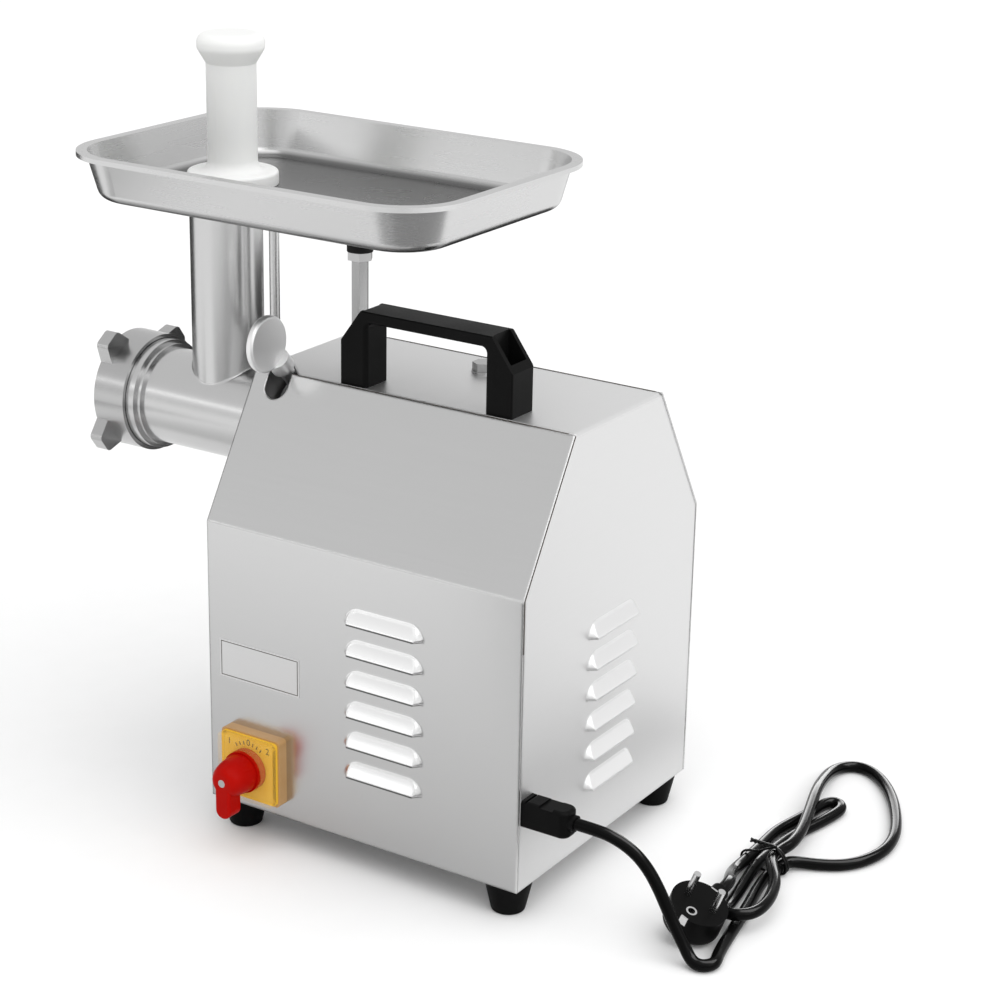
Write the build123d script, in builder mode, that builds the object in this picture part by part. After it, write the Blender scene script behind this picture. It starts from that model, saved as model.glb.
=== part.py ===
"""Electric meat grinder: a folded steel housing, a geared motor, a feed head and a mains lead.

Millimetres, +Z up. The origin is on the floor, midway between the four feet. The grinding head points
to -Y, the power inlet is on the +Y face and the rotary switch on the +X face.
"""

import os
from math import acos, atan, atan2, cos, degrees, pi, radians, sin, sqrt, tan

from build123d import *

os.makedirs("parts", exist_ok=True)

# Driving dimensions: housing of folded sheet
sheet = 1.2
housing_width = 220.0
housing_length = 246.0
side_height = 199.0
housing_height = 291.0
top_width = 110.0
bend_radius = 2.5
seam = 0.8
base_flange = 12.0

# Louvres pressed into the side covers and the rear panel
louvre_count = 6
louvre_length = 61.0
louvre_height = 11.0
louvre_depth = 5.5
louvre_pitch = 21.5
louvre_lean = 40.0
side_louvre_y = 19.5
side_louvre_low = 69.0
rear_louvre_low = 61.5

# Feet
foot_height = 22.0
foot_top_radius = 16.0
foot_base_radius = 11.0
foot_inset = 16.0
foot_screw_radius = 2.5
foot_recess_radius = 5.5
foot_recess_depth = 9.0
foot_edge = 2.0
foot_screw_head = 3.0
foot_screw_end = 5.0
foot_nut = 4.0
foot_nut_flats = 8.0

# Carrying handle
handle_length = 132.0
handle_width = 25.0
handle_height = 51.0
handle_leg = 20.5
handle_bar = 8.0
handle_shoulder_run = 16.0
handle_shoulder_drop = 22.0
handle_wall = 3.5
handle_seat = 10.0
handle_y = 9.0
handle_edge = 1.2
handle_under = 3.0
handle_corner = 4.0
handle_edge_margin = 1.0
handle_screw_radius = 2.5
handle_screw_head = 4.5
handle_screw_cap = 3.0
handle_screw_end = 6.0
handle_nut = 4.0

# Bolt with a washer in the top panel
top_bolt_x = -25.0
top_bolt_y = 4.0
top_bolt_radius = 4.0
top_bolt_flats = 13.0
top_bolt_head = 5.3
top_bolt_reach = 14.0
washer_radius = 8.0
washer_thickness = 1.6

# Head: barrel, feed tube, plate and ring nut on one axis
head_length = 151.0
barrel_radius = 34.0
barrel_bore = 29.0
spigot_radius = 30.0
spigot_bore = 15.0
spigot_gap = 0.5
throat_wall = 7.5
saddle_fillet = 2.0
tube_reach = 68.0
tube_radius = 25.0
tube_wall = 2.0
flange_radius = 39.0
flange_length = 24.5
step_height = 2.5
step_length = 4.0
plate_radius = 34.8
plate_thickness = 10.0
plate_proud = 0.5
plate_hole_radius = 3.0
plate_hole_pitch = 7.6
plate_hole_rings = 3
plate_hole_circle_radius = 12.5
key_radius = 2.0
stud_end_radius = 6.0
knife_thickness = 8.0
knife_arm = 10.0
knife_hub = 13.0
knife_reach = 27.5
ring_wall = 2.5
ring_lip = 8.0
ring_opening = 30.0
ring_overlap = 17.5
lug_count = 4
lug_reach = 54.0
lug_base = 24.0
lug_tip = 14.0
lug_depth = 10.0
lug_turn = 9.0
lug_round = 4.0

# Feed screw
auger_core = 12.0
auger_pitch = 36.0
auger_flight = 4.0
auger_root = 3.0
auger_end = 1.5
auger_room = 1.0
auger_tail_radius = 12.5
auger_bush_length = 30.0
drive_square = 14.0
drive_length = 16.0
drive_end_gap = 1.0

# Socket that holds the head, and its locking screw
socket_radius = 46.0
socket_length = 43.0
socket_gap = 2.3
lock_inset = 20.0
lock_lean = 42.0
lock_shank = 5.0
lock_hub = 8.0
lock_hub_start = 78.0
lock_hub_length = 10.0
paddle_radius = 19.0
paddle_centre = 104.5
paddle_thickness = 5.5
paddle_round = 2.0
notch_width = 18.0
notch_depth = 18.6
corner_cut = 33.0
panel_gap = 1.0

# Tray, its supports and the pusher
tray_width = 218.0
tray_length = 299.5
tray_depth = 32.5
tray_behind = 237.4
tray_sheet = 1.0
tray_lip = 6.0
tray_lip_turn = 3.2
tray_corner = 48.0
tray_lean = 9.0
tray_fillet = 9.0
skirt_length = 12.0
pusher_cap_radius = 23.0
pusher_stick_radius = 17.0
pusher_flange_radius = 31.0
pusher_flange = 9.0
pusher_cap = 20.0
pusher_height = 101.5
pusher_fillet = 7.0
pusher_edge = 2.0
pusher_cap_round = 6.5
pusher_cap_taper = 10.0
pusher_cap_under = 6.0
pusher_rest_angle = radians(122.0)
plunger_radius = 16.0
plunger_length = 105.0
rod_inset = 44.5
rod_flats = 10.6
rod_length = 69.0
stud_radius = 3.8
stud_reach = 12.0
rod_nut_flats = 15.5
rod_nut = 5.6
buffer_radius = 8.8
buffer_height = 29.0
stay_reach = 27.0
stay_radius = 3.5
stay_depth = 3.0

# Gear train: motor pinion, layshaft wheel, layshaft pinion, output wheel
fine_module = 1.5
coarse_module = 2.0
motor_teeth = 20
wheel_teeth = 60
lay_teeth = 16
output_teeth = 44
pressure_angle = radians(20.0)
root_depth = 1.25
flank_depth = 0.4
backlash = 0.3
fine_width = 14.0
coarse_width = 18.0
gear_gap = 4.0
gear_side = 4.0
gear_room = 3.0
gear_web = 6.0
gear_rim = 7.0
gear_hub = 6.0
gearbox_wall = 4.0
box_top_gap = 0.8
box_bolt_radius = 1.5
box_bolt_head = 2.8
box_bolt_height = 3.0
box_bolt_reach = 10.0
box_bolt_angles = (10.0, 60.0, 120.0, 170.0)
spindle_radius = 10.0
spindle_bush = 14.0
lay_shaft_radius = 7.0
lay_bush = 11.0
bush_gap = 1.0
seal_width = 3.0
box_foot_width = 72.0
box_foot_plate = 6.0
box_foot_post = 12.0
box_foot_length = 40.0

# Motor
motor_radius = 58.0
motor_wall = 3.5
motor_rear_room = 15.8
bell_thickness = 11.0
shaft_radius = 7.0
rotor_radius = 30.0
winding_room = 5.0
winding_length = 13.0
air_gap = 0.6
slot_count = 12
slot_width = 9.0
slot_depth = 14.0
slot_wall = 1.0
fan_radius = 46.0
fan_width = 11.0
fan_gap = 1.5
fan_hub_radius = 13.0
fan_disc = 2.0
fan_blade = 2.0
fan_blades = 9
bearing_radius = 16.0
bearing_width = 9.0
cradle_width = 96.0
cradle_length = 60.0
cradle_post = 14.0
cradle_plate = 5.0
capacitor_radius = 17.5
capacitor_length = 70.0
capacitor_inset = 30.0
capacitor_front = -10.0
clip_wall = 1.5
clip_width = 16.0
clip_foot = 7.0

# Rotary switch
switch_inset = 39.7
switch_z = 56.5
switch_base = 48.0
switch_base_thickness = 8.0
dial_size = 45.5
dial_thickness = 2.0
window_thickness = 6.5
window_chamfer = 2.2
window_rim = 2.5
window_pocket = 0.6
knob_radius = 14.5
knob_disc = 8.0
knob_reach_out = 39.0
knob_head = 13.3
knob_nose = 5.0
knob_grip = 12.0
knob_grip_depth = 12.0
knob_reach = 26.2
knob_edge = 2.0
knob_screw_radius = 2.7
knob_screw_depth = 2.0
switch_shaft = 3.0
switch_shaft_depth = 12.0
switch_body_size = 38.0
switch_body_depth = 45.0
switch_corner = 3.0

# Power inlet, connector and plug
inlet_inset = 10.5
inlet_z = 77.0
inlet_width = 16.0
inlet_height = 18.5
inlet_rim = 1.5
inlet_flange = 2.5
inlet_depth = 22.0
inlet_wall = 1.6
inlet_floor = 4.0
inlet_corner = 2.5
nose_length = 17.0
contact_tail = 7.0
contact_width = 4.0
contact_thickness = 1.6
contact_length = 12.0
contact_spacing = 3.2
contact_drop = 1.5
earth_contact_rise = 2.5
connector_width = 16.0
connector_height = 18.5
connector_length = 31.0
connector_round = 6.0
connector_dip = 1.2
connector_dip_length = 10.0
connector_edge = 2.5
cord_radius = 4.0
cord_exit_rise = 0.6
collar_wall = 1.4
collar_length = 2.5
arc_share = 0.45
probe_step = 2.0
tie_x = -46.0
tie_width = 5.0
tie_wall = 0.8
tie_room = 0.7
plug_lean = (0.1, 0.38, 0.92)
plug_radius = 19.0
plug_thickness = 21.0
plug_edge = 5.0
plug_exit_height = 9.0
plug_neck = 14.0
plug_neck_radius = 6.0
pin_radius = 2.4
pin_length = 19.0
pin_spacing = 19.0
pin_root = 8.0
earth_offset = 10.0
earth_hole = 2.4
earth_ring = 3.6
earth_strip_width = 5.0
earth_strip_thickness = 1.2

# Clearances, and the reach used to pick an edge by its place
near = 0.1
running = 0.05
rubbing = 0.3
loose = 0.4
slip = 0.1

# Places that follow from the driving dimensions
z_bottom = foot_height
z_fold = z_bottom + side_height
z_top = z_bottom + housing_height
y_front = -housing_length / 2
y_rear = housing_length / 2
x_side = housing_width / 2
switch_y = y_front + switch_inset
capacitor_x = capacitor_inset - x_side
inlet_x = x_side - inlet_inset
tilt = atan2((housing_width - top_width) / 2, housing_height - side_height)
floor_top = z_bottom + sheet
panel_inset = sheet + seam
top_half = top_width / 2 - panel_inset / cos(tilt)
handle_x = top_half - handle_edge_margin - handle_width / 2
handle_start = handle_y - handle_length / 2
handle_end = handle_y + handle_length / 2
handle_holes = [handle_start + handle_leg / 2, handle_end - handle_leg / 2]
handle_top = z_top + handle_height

# Gear axes, one above the other, down from the top panel that the gearbox fits under
box_grow = gear_room + gearbox_wall
output_pitch = coarse_module * output_teeth / 2
lay_pitch = coarse_module * lay_teeth / 2
wheel_pitch = fine_module * wheel_teeth / 2
pinion_pitch = fine_module * motor_teeth / 2
head_height = z_top - sheet - box_top_gap - box_grow - coarse_module - output_pitch
lay_height = head_height - output_pitch - lay_pitch
motor_height = lay_height - wheel_pitch - pinion_pitch

# Head, from the housing forwards
tube_y = y_front - tube_reach
stay_y = y_front - stay_reach
lock_y = y_front + lock_inset
rod_y = y_front + rod_inset
tray_rear = tube_y + tray_behind
socket_front = y_front + sheet + socket_gap
socket_rear = socket_front + socket_length
spigot_rear = socket_rear - spigot_gap
cavity_rear = socket_front + throat_wall
head_front = socket_front - head_length
flange_rear = head_front + flange_length
step_rear = flange_rear + step_length
plate_front = head_front - plate_proud
plate_rear = plate_front + plate_thickness
knife_front = plate_rear + rubbing
knife_rear = knife_front + knife_thickness
ring_rear = head_front + ring_overlap
ring_seat = plate_front - rubbing
ring_front = ring_seat - ring_lip
rod_top = z_top + rod_length
nut_top = rod_top + rod_nut
tube_top = nut_top + buffer_height
tray_floor = tube_top + loose
skirt_radius = tube_radius - tube_wall - loose
skirt_bore = skirt_radius - tray_sheet
pusher_shift = skirt_bore - plunger_radius - loose
pusher_x = pusher_shift * cos(pusher_rest_angle)
pusher_y = tube_y + pusher_shift * sin(pusher_rest_angle)

# Gearbox, behind the socket
box_front = socket_rear
gear_front = box_front + gearbox_wall + gear_side
coarse_rear = gear_front + coarse_width
fine_front = coarse_rear + gear_gap
fine_rear = fine_front + fine_width
cover_front = fine_rear + gear_side
box_rear = cover_front + gearbox_wall
bush_front = gear_front - bush_gap
bush_rear = fine_rear + bush_gap

# Motor, between the gearbox and the rear panel
casing_front = box_rear + bell_thickness
fan_rear = y_rear - sheet - motor_rear_room
fan_front = fan_rear - fan_width
bell_rear = fan_front - fan_gap
casing_rear = bell_rear - bell_thickness
stator_front = casing_front + winding_room + winding_length
stator_rear = casing_rear - winding_room - winding_length
stator_length = stator_rear - stator_front

# Switch stack, outwards from the side cover
dial_x = x_side + switch_base_thickness
window_x = dial_x + dial_thickness
knob_x = window_x + loose
grip_x = window_x + window_thickness + loose
knob_front = x_side + knob_reach_out

# Connector, outwards from the rear panel
inlet_face = y_rear + inlet_flange
connector_end = inlet_face + connector_length


def save(piece, name):
    """Label a finished piece and write it under the same name."""
    piece.part.label = name
    export_step(piece.part, f"parts/{name}.step")


def across(y, z=0.0, x=0.0):
    """Plane square to Y that looks towards -Y: its x is +X and its y is +Z."""
    return Plane(origin=(x, y, z), x_dir=(1, 0, 0), z_dir=(0, -1, 0))


def lengthwise(z=0.0, x=0.0):
    """Plane square to X that looks towards +X: its x is +Y and its y is +Z."""
    return Plane(origin=(x, 0, z), x_dir=(0, 1, 0), z_dir=(1, 0, 0))


def turned(outline, height, mode=Mode.ADD):
    """Turn an outline of (y, radius) points about the Y axis at this height."""
    with BuildSketch(lengthwise(height)) as profile:
        with BuildLine():
            Polyline(*outline, close=True)
        make_face()
    revolve(profile.sketch, axis=Axis((0, 0, height), (0, 1, 0)), mode=mode)


def rod_y_axis(y_from, y_to, radius, height, x=0.0, mode=Mode.ADD):
    """A round bar along Y between two places."""
    with BuildSketch(across(max(y_from, y_to), height, x)) as profile:
        Circle(radius)
    extrude(profile.sketch, amount=abs(y_to - y_from), mode=mode)


def rod_z_axis(x, y, z_from, z_to, radius, mode=Mode.ADD):
    """A round bar along Z between two heights."""
    with BuildSketch(Plane.XY.offset(z_from)) as profile:
        with Locations((x, y)):
            Circle(radius)
    extrude(profile.sketch, amount=z_to - z_from, mode=mode)


def half_section(inset):
    """Side, fold and top points of the housing's cross-section on +X, drawn in by an inset."""
    return [
        (x_side - inset, z_bottom),
        (x_side - inset, z_fold - inset * tan(tilt / 2)),
        (top_width / 2 - inset / cos(tilt), z_top),
    ]


def whole_section(inset):
    """The housing's closed cross-section, drawn in by an inset on both sides."""
    right = half_section(inset)
    return right + [(-x, z) for x, z in reversed(right)]


# Louvre: a sloping hood with rounded ends, open below, and the slot that it covers
def hood_form(inset):
    """The hood's form drawn in by an inset, with a face that slopes back to the panel."""
    with BuildPart() as form:
        with BuildSketch(Plane.XY):
            SlotOverall(louvre_length - 2 * inset, 2 * (louvre_height - inset))
        extrude(amount=louvre_depth, taper=louvre_lean)
        with BuildSketch(Plane.YZ):
            with BuildLine():
                Polyline((0, 0), (0, louvre_depth - inset), (louvre_height - inset, 0), close=True)
            make_face()
        extrude(amount=louvre_length, both=True, mode=Mode.INTERSECT)
    return form.part


with BuildPart() as louvre_hood:
    add(hood_form(0.0))
    add(hood_form(sheet), mode=Mode.SUBTRACT)

with BuildPart() as louvre_slot:
    with BuildSketch(Plane.XY):
        SlotOverall(louvre_length - 2 * sheet, 2 * (louvre_height - sheet))
        with Locations((0, -louvre_height)):
            Rectangle(louvre_length, 2 * louvre_height, mode=Mode.SUBTRACT)
    extrude(amount=-sheet)


def louvre_places(plane, low):
    """Places of the louvres, one above the other, on a panel's outer face."""
    steps = [low + index * louvre_pitch for index in range(louvre_count)]
    return [plane.location * Location((0, step, 0)) for step in steps]


def press_louvres(places):
    """Cut the slots through the panel and raise the hoods over them."""
    for place in places:
        add(louvre_slot.part.moved(place), mode=Mode.SUBTRACT)
        add(louvre_hood.part.moved(place))


# Housing wrap: front, top and rear panels folded from one sheet
with BuildPart() as housing_wrap:
    for inset, mode in ((0.0, Mode.ADD), (sheet, Mode.SUBTRACT)):
        with BuildSketch(lengthwise()):
            with BuildLine():
                FilletPolyline(
                    (y_front + inset, z_bottom),
                    (y_front + inset, z_top - inset),
                    (y_rear - inset, z_top - inset),
                    (y_rear - inset, z_bottom),
                    radius=bend_radius - inset,
                )
                Line((y_rear - inset, z_bottom), (y_front + inset, z_bottom))
            make_face()
        extrude(amount=x_side, both=True, mode=mode)
    with BuildSketch(across(y_rear)):
        with BuildLine():
            Polyline(*whole_section(panel_inset), close=True)
        make_face()
    extrude(amount=housing_length, mode=Mode.INTERSECT)
    with BuildSketch(Plane.XY.offset(z_top - bend_radius)):
        with BuildLine():
            Polyline(
                (top_half - corner_cut, y_front),
                (top_half + bend_radius, y_front + corner_cut + bend_radius),
                (top_half + bend_radius, y_front),
                close=True,
            )
        make_face()
    extrude(amount=bend_radius, mode=Mode.SUBTRACT)
    rod_y_axis(y_front, y_front + sheet, barrel_radius + panel_gap, head_height, mode=Mode.SUBTRACT)
    with BuildSketch(across(y_rear, inlet_z, inlet_x)):
        Rectangle(inlet_width - 2 * inlet_rim, inlet_height - 2 * inlet_rim)
    extrude(amount=sheet, mode=Mode.SUBTRACT)
    with BuildSketch(Plane.XY.offset(z_top - sheet)):
        with Locations(*[(handle_x, y) for y in handle_holes]):
            Circle(handle_screw_radius)
        with Locations((0, rod_y)):
            Circle(stud_radius)
        with Locations((top_bolt_x, top_bolt_y)):
            Circle(top_bolt_radius)
    extrude(amount=sheet, mode=Mode.SUBTRACT)
    rear_face = Plane(origin=(0, y_rear, 0), x_dir=(-1, 0, 0), z_dir=(0, 1, 0))
    press_louvres(louvre_places(rear_face, rear_louvre_low))
save(housing_wrap, "housing_wrap")

# Side covers: an upright panel and a leaning panel, folded in one piece, with pressed louvres
with BuildPart() as cover_blank:
    with BuildSketch(across(y_rear)):
        with BuildLine():
            Polyline(*half_section(0), *reversed(half_section(sheet)), close=True)
        make_face()
    extrude(amount=housing_length)
    long_edges = cover_blank.edges().filter_by(Axis.Y)
    fold_edges = long_edges.filter_by_position(Axis.Z, z_fold - sheet, z_fold + sheet)
    fillet(fold_edges.sort_by(Axis.X)[-1], radius=bend_radius)
    side_face = Plane(origin=(x_side, side_louvre_y, 0), x_dir=(0, 1, 0), z_dir=(1, 0, 0))
    press_louvres(louvre_places(side_face, side_louvre_low))

lean_plane = Plane(
    origin=(top_width / 2, lock_y, z_top), x_dir=(0, 1, 0), z_dir=(cos(tilt), 0, sin(tilt))
)
switch_plane = Plane(origin=(x_side, switch_y, switch_z), x_dir=(0, 1, 0), z_dir=(1, 0, 0))

with BuildPart() as side_cover_switch:
    add(cover_blank.part)
    with BuildSketch(lean_plane):
        SlotOverall(2 * notch_depth, notch_width, rotation=90)
    extrude(amount=2 * sheet, both=True, mode=Mode.SUBTRACT)
    with BuildSketch(switch_plane):
        Circle(knob_radius)
    extrude(amount=-sheet, mode=Mode.SUBTRACT)
save(side_cover_switch, "side_cover_switch")

with BuildPart() as side_cover_plain:
    mirror(cover_blank.part, about=Plane.YZ)
save(side_cover_plain, "side_cover_plain")

# Base plate: a shallow pan inside the covers
with BuildPart() as base_plate:
    with BuildSketch(Plane.XY.offset(z_bottom)):
        Rectangle(housing_width - 2 * sheet, housing_length - 2 * sheet)
    extrude(amount=base_flange)
    with BuildSketch(Plane.XY.offset(floor_top)):
        Rectangle(housing_width - 4 * sheet, housing_length - 4 * sheet)
    extrude(amount=base_flange, mode=Mode.SUBTRACT)
    foot_places = GridLocations(housing_width - 2 * foot_inset, housing_length - 2 * foot_inset, 2, 2)
    with BuildSketch(Plane.XY.offset(z_bottom)):
        with foot_places:
            Circle(foot_screw_radius + slip)
    extrude(amount=sheet, mode=Mode.SUBTRACT)
save(base_plate, "base_plate")

# Rubber feet, and the screws that hold them from below
foot_names = ("rear_left", "front_left", "rear_right", "front_right")
foot_spots = [
    (side * (x_side - foot_inset), end * (y_rear - foot_inset)) for side in (-1, 1) for end in (1, -1)
]
for foot_name, (foot_x, foot_y) in zip(foot_names, foot_spots):
    with BuildPart() as foot:
        with BuildSketch(Plane.XZ):
            with BuildLine():
                Polyline(
                    (0, 0),
                    (foot_base_radius, 0),
                    (foot_top_radius, foot_height),
                    (0, foot_height),
                    close=True,
                )
            make_face()
        revolve(axis=Axis.Z)
        fillet(foot.edges().filter_by(GeomType.CIRCLE).sort_by(Axis.Z)[0], radius=foot_edge)
        rod_z_axis(0, 0, 0, foot_recess_depth, foot_recess_radius, mode=Mode.SUBTRACT)
        rod_z_axis(0, 0, foot_recess_depth, foot_height, foot_screw_radius, mode=Mode.SUBTRACT)
    foot.part.position = (foot_x, foot_y, 0)
    save(foot, f"foot_{foot_name}")

with BuildPart() as foot_screws:
    for foot_x, foot_y in foot_spots:
        head_bottom = foot_recess_depth - foot_screw_head
        rod_z_axis(foot_x, foot_y, head_bottom, foot_recess_depth, foot_recess_radius - loose)
        rod_z_axis(foot_x, foot_y, foot_recess_depth, floor_top + foot_screw_end, foot_screw_radius)
        with BuildSketch(Plane.XY.offset(floor_top)):
            with Locations((foot_x, foot_y)):
                RegularPolygon(foot_nut_flats / 2, 6, major_radius=False)
        extrude(amount=foot_nut)
save(foot_screws, "foot_screws")

# Carrying handle: a moulded bow with a screw well in each leg
with BuildPart() as carrying_handle:
    with BuildSketch(lengthwise(z_top, handle_x)):
        with BuildLine():
            Polyline(
                (handle_start, 0),
                (handle_start, handle_height - handle_shoulder_drop),
                (handle_start + handle_shoulder_run, handle_height),
                (handle_end - handle_shoulder_run, handle_height),
                (handle_end, handle_height - handle_shoulder_drop),
                (handle_end, 0),
                (handle_end - handle_leg, 0),
                (handle_end - handle_leg, handle_height - handle_bar),
                (handle_start + handle_leg, handle_height - handle_bar),
                (handle_start + handle_leg, 0),
                close=True,
            )
        make_face()
    extrude(amount=handle_width / 2, both=True)
    bar_under = handle_top - handle_bar
    corners = carrying_handle.edges().filter_by(Axis.X)
    fillet(corners.filter_by_position(Axis.Z, bar_under - near, bar_under + near), radius=handle_corner)
    gap_start = handle_start + handle_leg - near
    gap_end = handle_end - handle_leg + near
    inside = carrying_handle.faces().filter_by(Axis.X).edges()
    inside = inside.filter_by_position(Axis.Y, gap_start, gap_end)
    fillet(inside.filter_by_position(Axis.Z, z_top + near, bar_under + near), radius=handle_under)
    rims = carrying_handle.edges().filter_by_position(Axis.Z, z_top + near, handle_top + near)
    outside = rims.filter_by(lambda edge: abs(abs(edge.center().X - handle_x) - handle_width / 2) < near)
    outside = outside.filter_by(
        lambda edge: edge.center().Z > bar_under + handle_bar / 2
        or edge.center().Y < handle_start + near
        or edge.center().Y > handle_end - near
    )
    fillet(outside, radius=handle_edge)
    with BuildSketch(Plane.XY.offset(z_top + handle_seat)):
        with Locations(*[(handle_x, y) for y in handle_holes]):
            Rectangle(handle_width - 2 * handle_wall, handle_leg - 2 * handle_wall)
    extrude(amount=handle_height, mode=Mode.SUBTRACT)
    with BuildSketch(Plane.XY.offset(z_top)):
        with Locations(*[(handle_x, y) for y in handle_holes]):
            Circle(handle_screw_radius)
    extrude(amount=handle_seat, mode=Mode.SUBTRACT)
save(carrying_handle, "carrying_handle")

with BuildPart() as handle_screws:
    for y in handle_holes:
        cap_under = z_top + handle_seat
        rod_z_axis(handle_x, y, z_top - sheet - handle_screw_end, cap_under, handle_screw_radius)
        rod_z_axis(handle_x, y, cap_under, cap_under + handle_screw_cap, handle_screw_head)
        rod_z_axis(handle_x, y, z_top - sheet - handle_nut, z_top - sheet, handle_screw_head)
save(handle_screws, "handle_screws")

# Hex bolt with a washer in the top panel
with BuildPart() as top_bolt:
    with BuildSketch(Plane.XY.offset(z_top + washer_thickness)):
        with Locations((top_bolt_x, top_bolt_y)):
            RegularPolygon(top_bolt_flats / 2, 6, major_radius=False)
    extrude(amount=top_bolt_head)
    rod_z_axis(top_bolt_x, top_bolt_y, z_top - top_bolt_reach, z_top + washer_thickness, top_bolt_radius)
    with BuildSketch(Plane.XY.offset(z_top - sheet - top_bolt_head)):
        with Locations((top_bolt_x, top_bolt_y)):
            RegularPolygon(top_bolt_flats / 2, 6, major_radius=False)
    extrude(amount=top_bolt_head)
    with BuildSketch(Plane.XY.offset(z_top)):
        with Locations((top_bolt_x, top_bolt_y)):
            Circle(washer_radius)
    extrude(amount=washer_thickness)
save(top_bolt, "top_bolt")

# Socket that carries the head, with a threaded hole for the locking screw
lock_line = (sin(radians(lock_lean)), 0, cos(radians(lock_lean)))


def lock_plane(reach):
    """Plane square to the locking screw at a distance from the head's axis: its x is +Y."""
    origin = (lock_line[0] * reach, lock_y, head_height + lock_line[2] * reach)
    return Plane(origin=origin, x_dir=(0, 1, 0), z_dir=lock_line)


with BuildPart() as head_socket:
    rod_y_axis(socket_front, socket_rear, socket_radius, head_height)
    rod_y_axis(socket_front, socket_rear, spigot_radius + slip, head_height, mode=Mode.SUBTRACT)
    with BuildSketch(lock_plane(0)):
        Circle(lock_shank + running)
    extrude(amount=socket_radius * 2, mode=Mode.SUBTRACT)
save(head_socket, "head_socket")

with BuildPart() as locking_screw:
    paddle_spot = lock_plane(paddle_centre).origin
    with BuildSketch(across(paddle_spot.Y, paddle_spot.Z, paddle_spot.X)):
        Circle(paddle_radius)
    extrude(amount=paddle_thickness / 2, both=True)
    fillet(locking_screw.edges().filter_by(GeomType.CIRCLE), radius=paddle_round)
    with BuildSketch(lock_plane(spigot_radius + rubbing)):
        Circle(lock_shank)
    extrude(amount=lock_hub_start - spigot_radius)
    with BuildSketch(lock_plane(lock_hub_start)):
        Circle(lock_hub)
    extrude(amount=lock_hub_length)
save(locking_screw, "locking_screw")

# Grinding head: spigot, barrel, threaded flange and feed tube in one piece
with BuildPart() as grinder_head:
    turned(
        [
            (spigot_rear, 0),
            (spigot_rear, spigot_radius),
            (socket_front, spigot_radius),
            (socket_front, barrel_radius),
            (step_rear, barrel_radius),
            (step_rear, barrel_radius + step_height),
            (flange_rear, barrel_radius + step_height),
            (flange_rear, flange_radius),
            (head_front, flange_radius),
            (head_front, 0),
        ],
        head_height,
    )
    rod_z_axis(0, tube_y, head_height, tube_top, tube_radius)
    saddle = grinder_head.edges().filter_by_position(Axis.Y, tube_y - tube_radius, tube_y + tube_radius)
    saddle = saddle.filter_by_position(Axis.Z, head_height + near, head_height + barrel_radius + near)
    fillet(saddle, radius=saddle_fillet)
    turned(
        [
            (spigot_rear, 0),
            (spigot_rear, spigot_bore),
            (cavity_rear, spigot_bore),
            (cavity_rear, barrel_bore),
            (plate_rear, barrel_bore),
            (plate_rear, plate_radius + slip),
            (head_front, plate_radius + slip),
            (head_front, 0),
        ],
        head_height,
        mode=Mode.SUBTRACT,
    )
    rod_z_axis(0, tube_y, head_height, tube_top, tube_radius - tube_wall, mode=Mode.SUBTRACT)
    barrel_crown = head_height + barrel_radius
    rod_z_axis(0, stay_y, barrel_crown - stay_depth, barrel_crown, stay_radius, mode=Mode.SUBTRACT)
    key_height = head_height - plate_radius
    rod_y_axis(head_front, plate_rear, key_radius, key_height)
save(grinder_head, "grinder_head")

# Feed screw: square socket at the tail, tapering flight on a core, square and stud for knife and plate
auger_rear = cavity_rear - auger_room
tail_rear = spigot_rear - drive_end_gap
drive_front = tail_rear - drive_length

with BuildPart() as auger:
    with BuildLine() as spiral:
        Helix(
            auger_pitch,
            auger_rear - knife_rear - auger_flight - 2 * auger_end,
            auger_core,
            center=(0, auger_rear - auger_end - auger_flight / 2, head_height),
            direction=(0, -1, 0),
        )
    start = spiral.line @ 0
    spoke = Vector(start.X, 0, start.Z - head_height).normalized()
    with BuildSketch(Plane(origin=start, x_dir=spoke, z_dir=spoke.cross(Vector(0, 1, 0)))):
        flight_reach = barrel_bore - auger_room - auger_core
        with Locations(((flight_reach - auger_root) / 2, 0)):
            Rectangle(flight_reach + auger_root, auger_flight)
    sweep(path=spiral.line, is_frenet=True)
    rod_y_axis(knife_rear, auger_rear, auger_core, head_height)
    rod_y_axis(auger_rear, tail_rear, auger_tail_radius, head_height)
    with BuildSketch(across(knife_rear, head_height)):
        Rectangle(2 * stud_end_radius, 2 * stud_end_radius)
    extrude(amount=knife_thickness)
    rod_y_axis(knife_front, plate_front, stud_end_radius, head_height)
    with BuildSketch(across(tail_rear, head_height)):
        Rectangle(drive_square + 2 * slip, drive_square + 2 * slip)
    extrude(amount=drive_length + slip, mode=Mode.SUBTRACT)
save(auger, "auger")

with BuildPart() as auger_bush:
    rod_y_axis(cavity_rear, cavity_rear + auger_bush_length, spigot_bore, head_height)
    bush_end = cavity_rear + auger_bush_length
    rod_y_axis(cavity_rear, bush_end, auger_tail_radius + running, head_height, mode=Mode.SUBTRACT)
save(auger_bush, "auger_bush")

# Cross knife with four arms
with BuildPart() as cross_knife:
    with BuildSketch(across(knife_rear, head_height)):
        Circle(knife_hub)
        for turn in (0, 90):
            Rectangle(2 * knife_reach, knife_arm, rotation=turn + 45)
        Rectangle(2 * (stud_end_radius + slip), 2 * (stud_end_radius + slip), mode=Mode.SUBTRACT)
    extrude(amount=knife_thickness)
save(cross_knife, "cross_knife")

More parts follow.
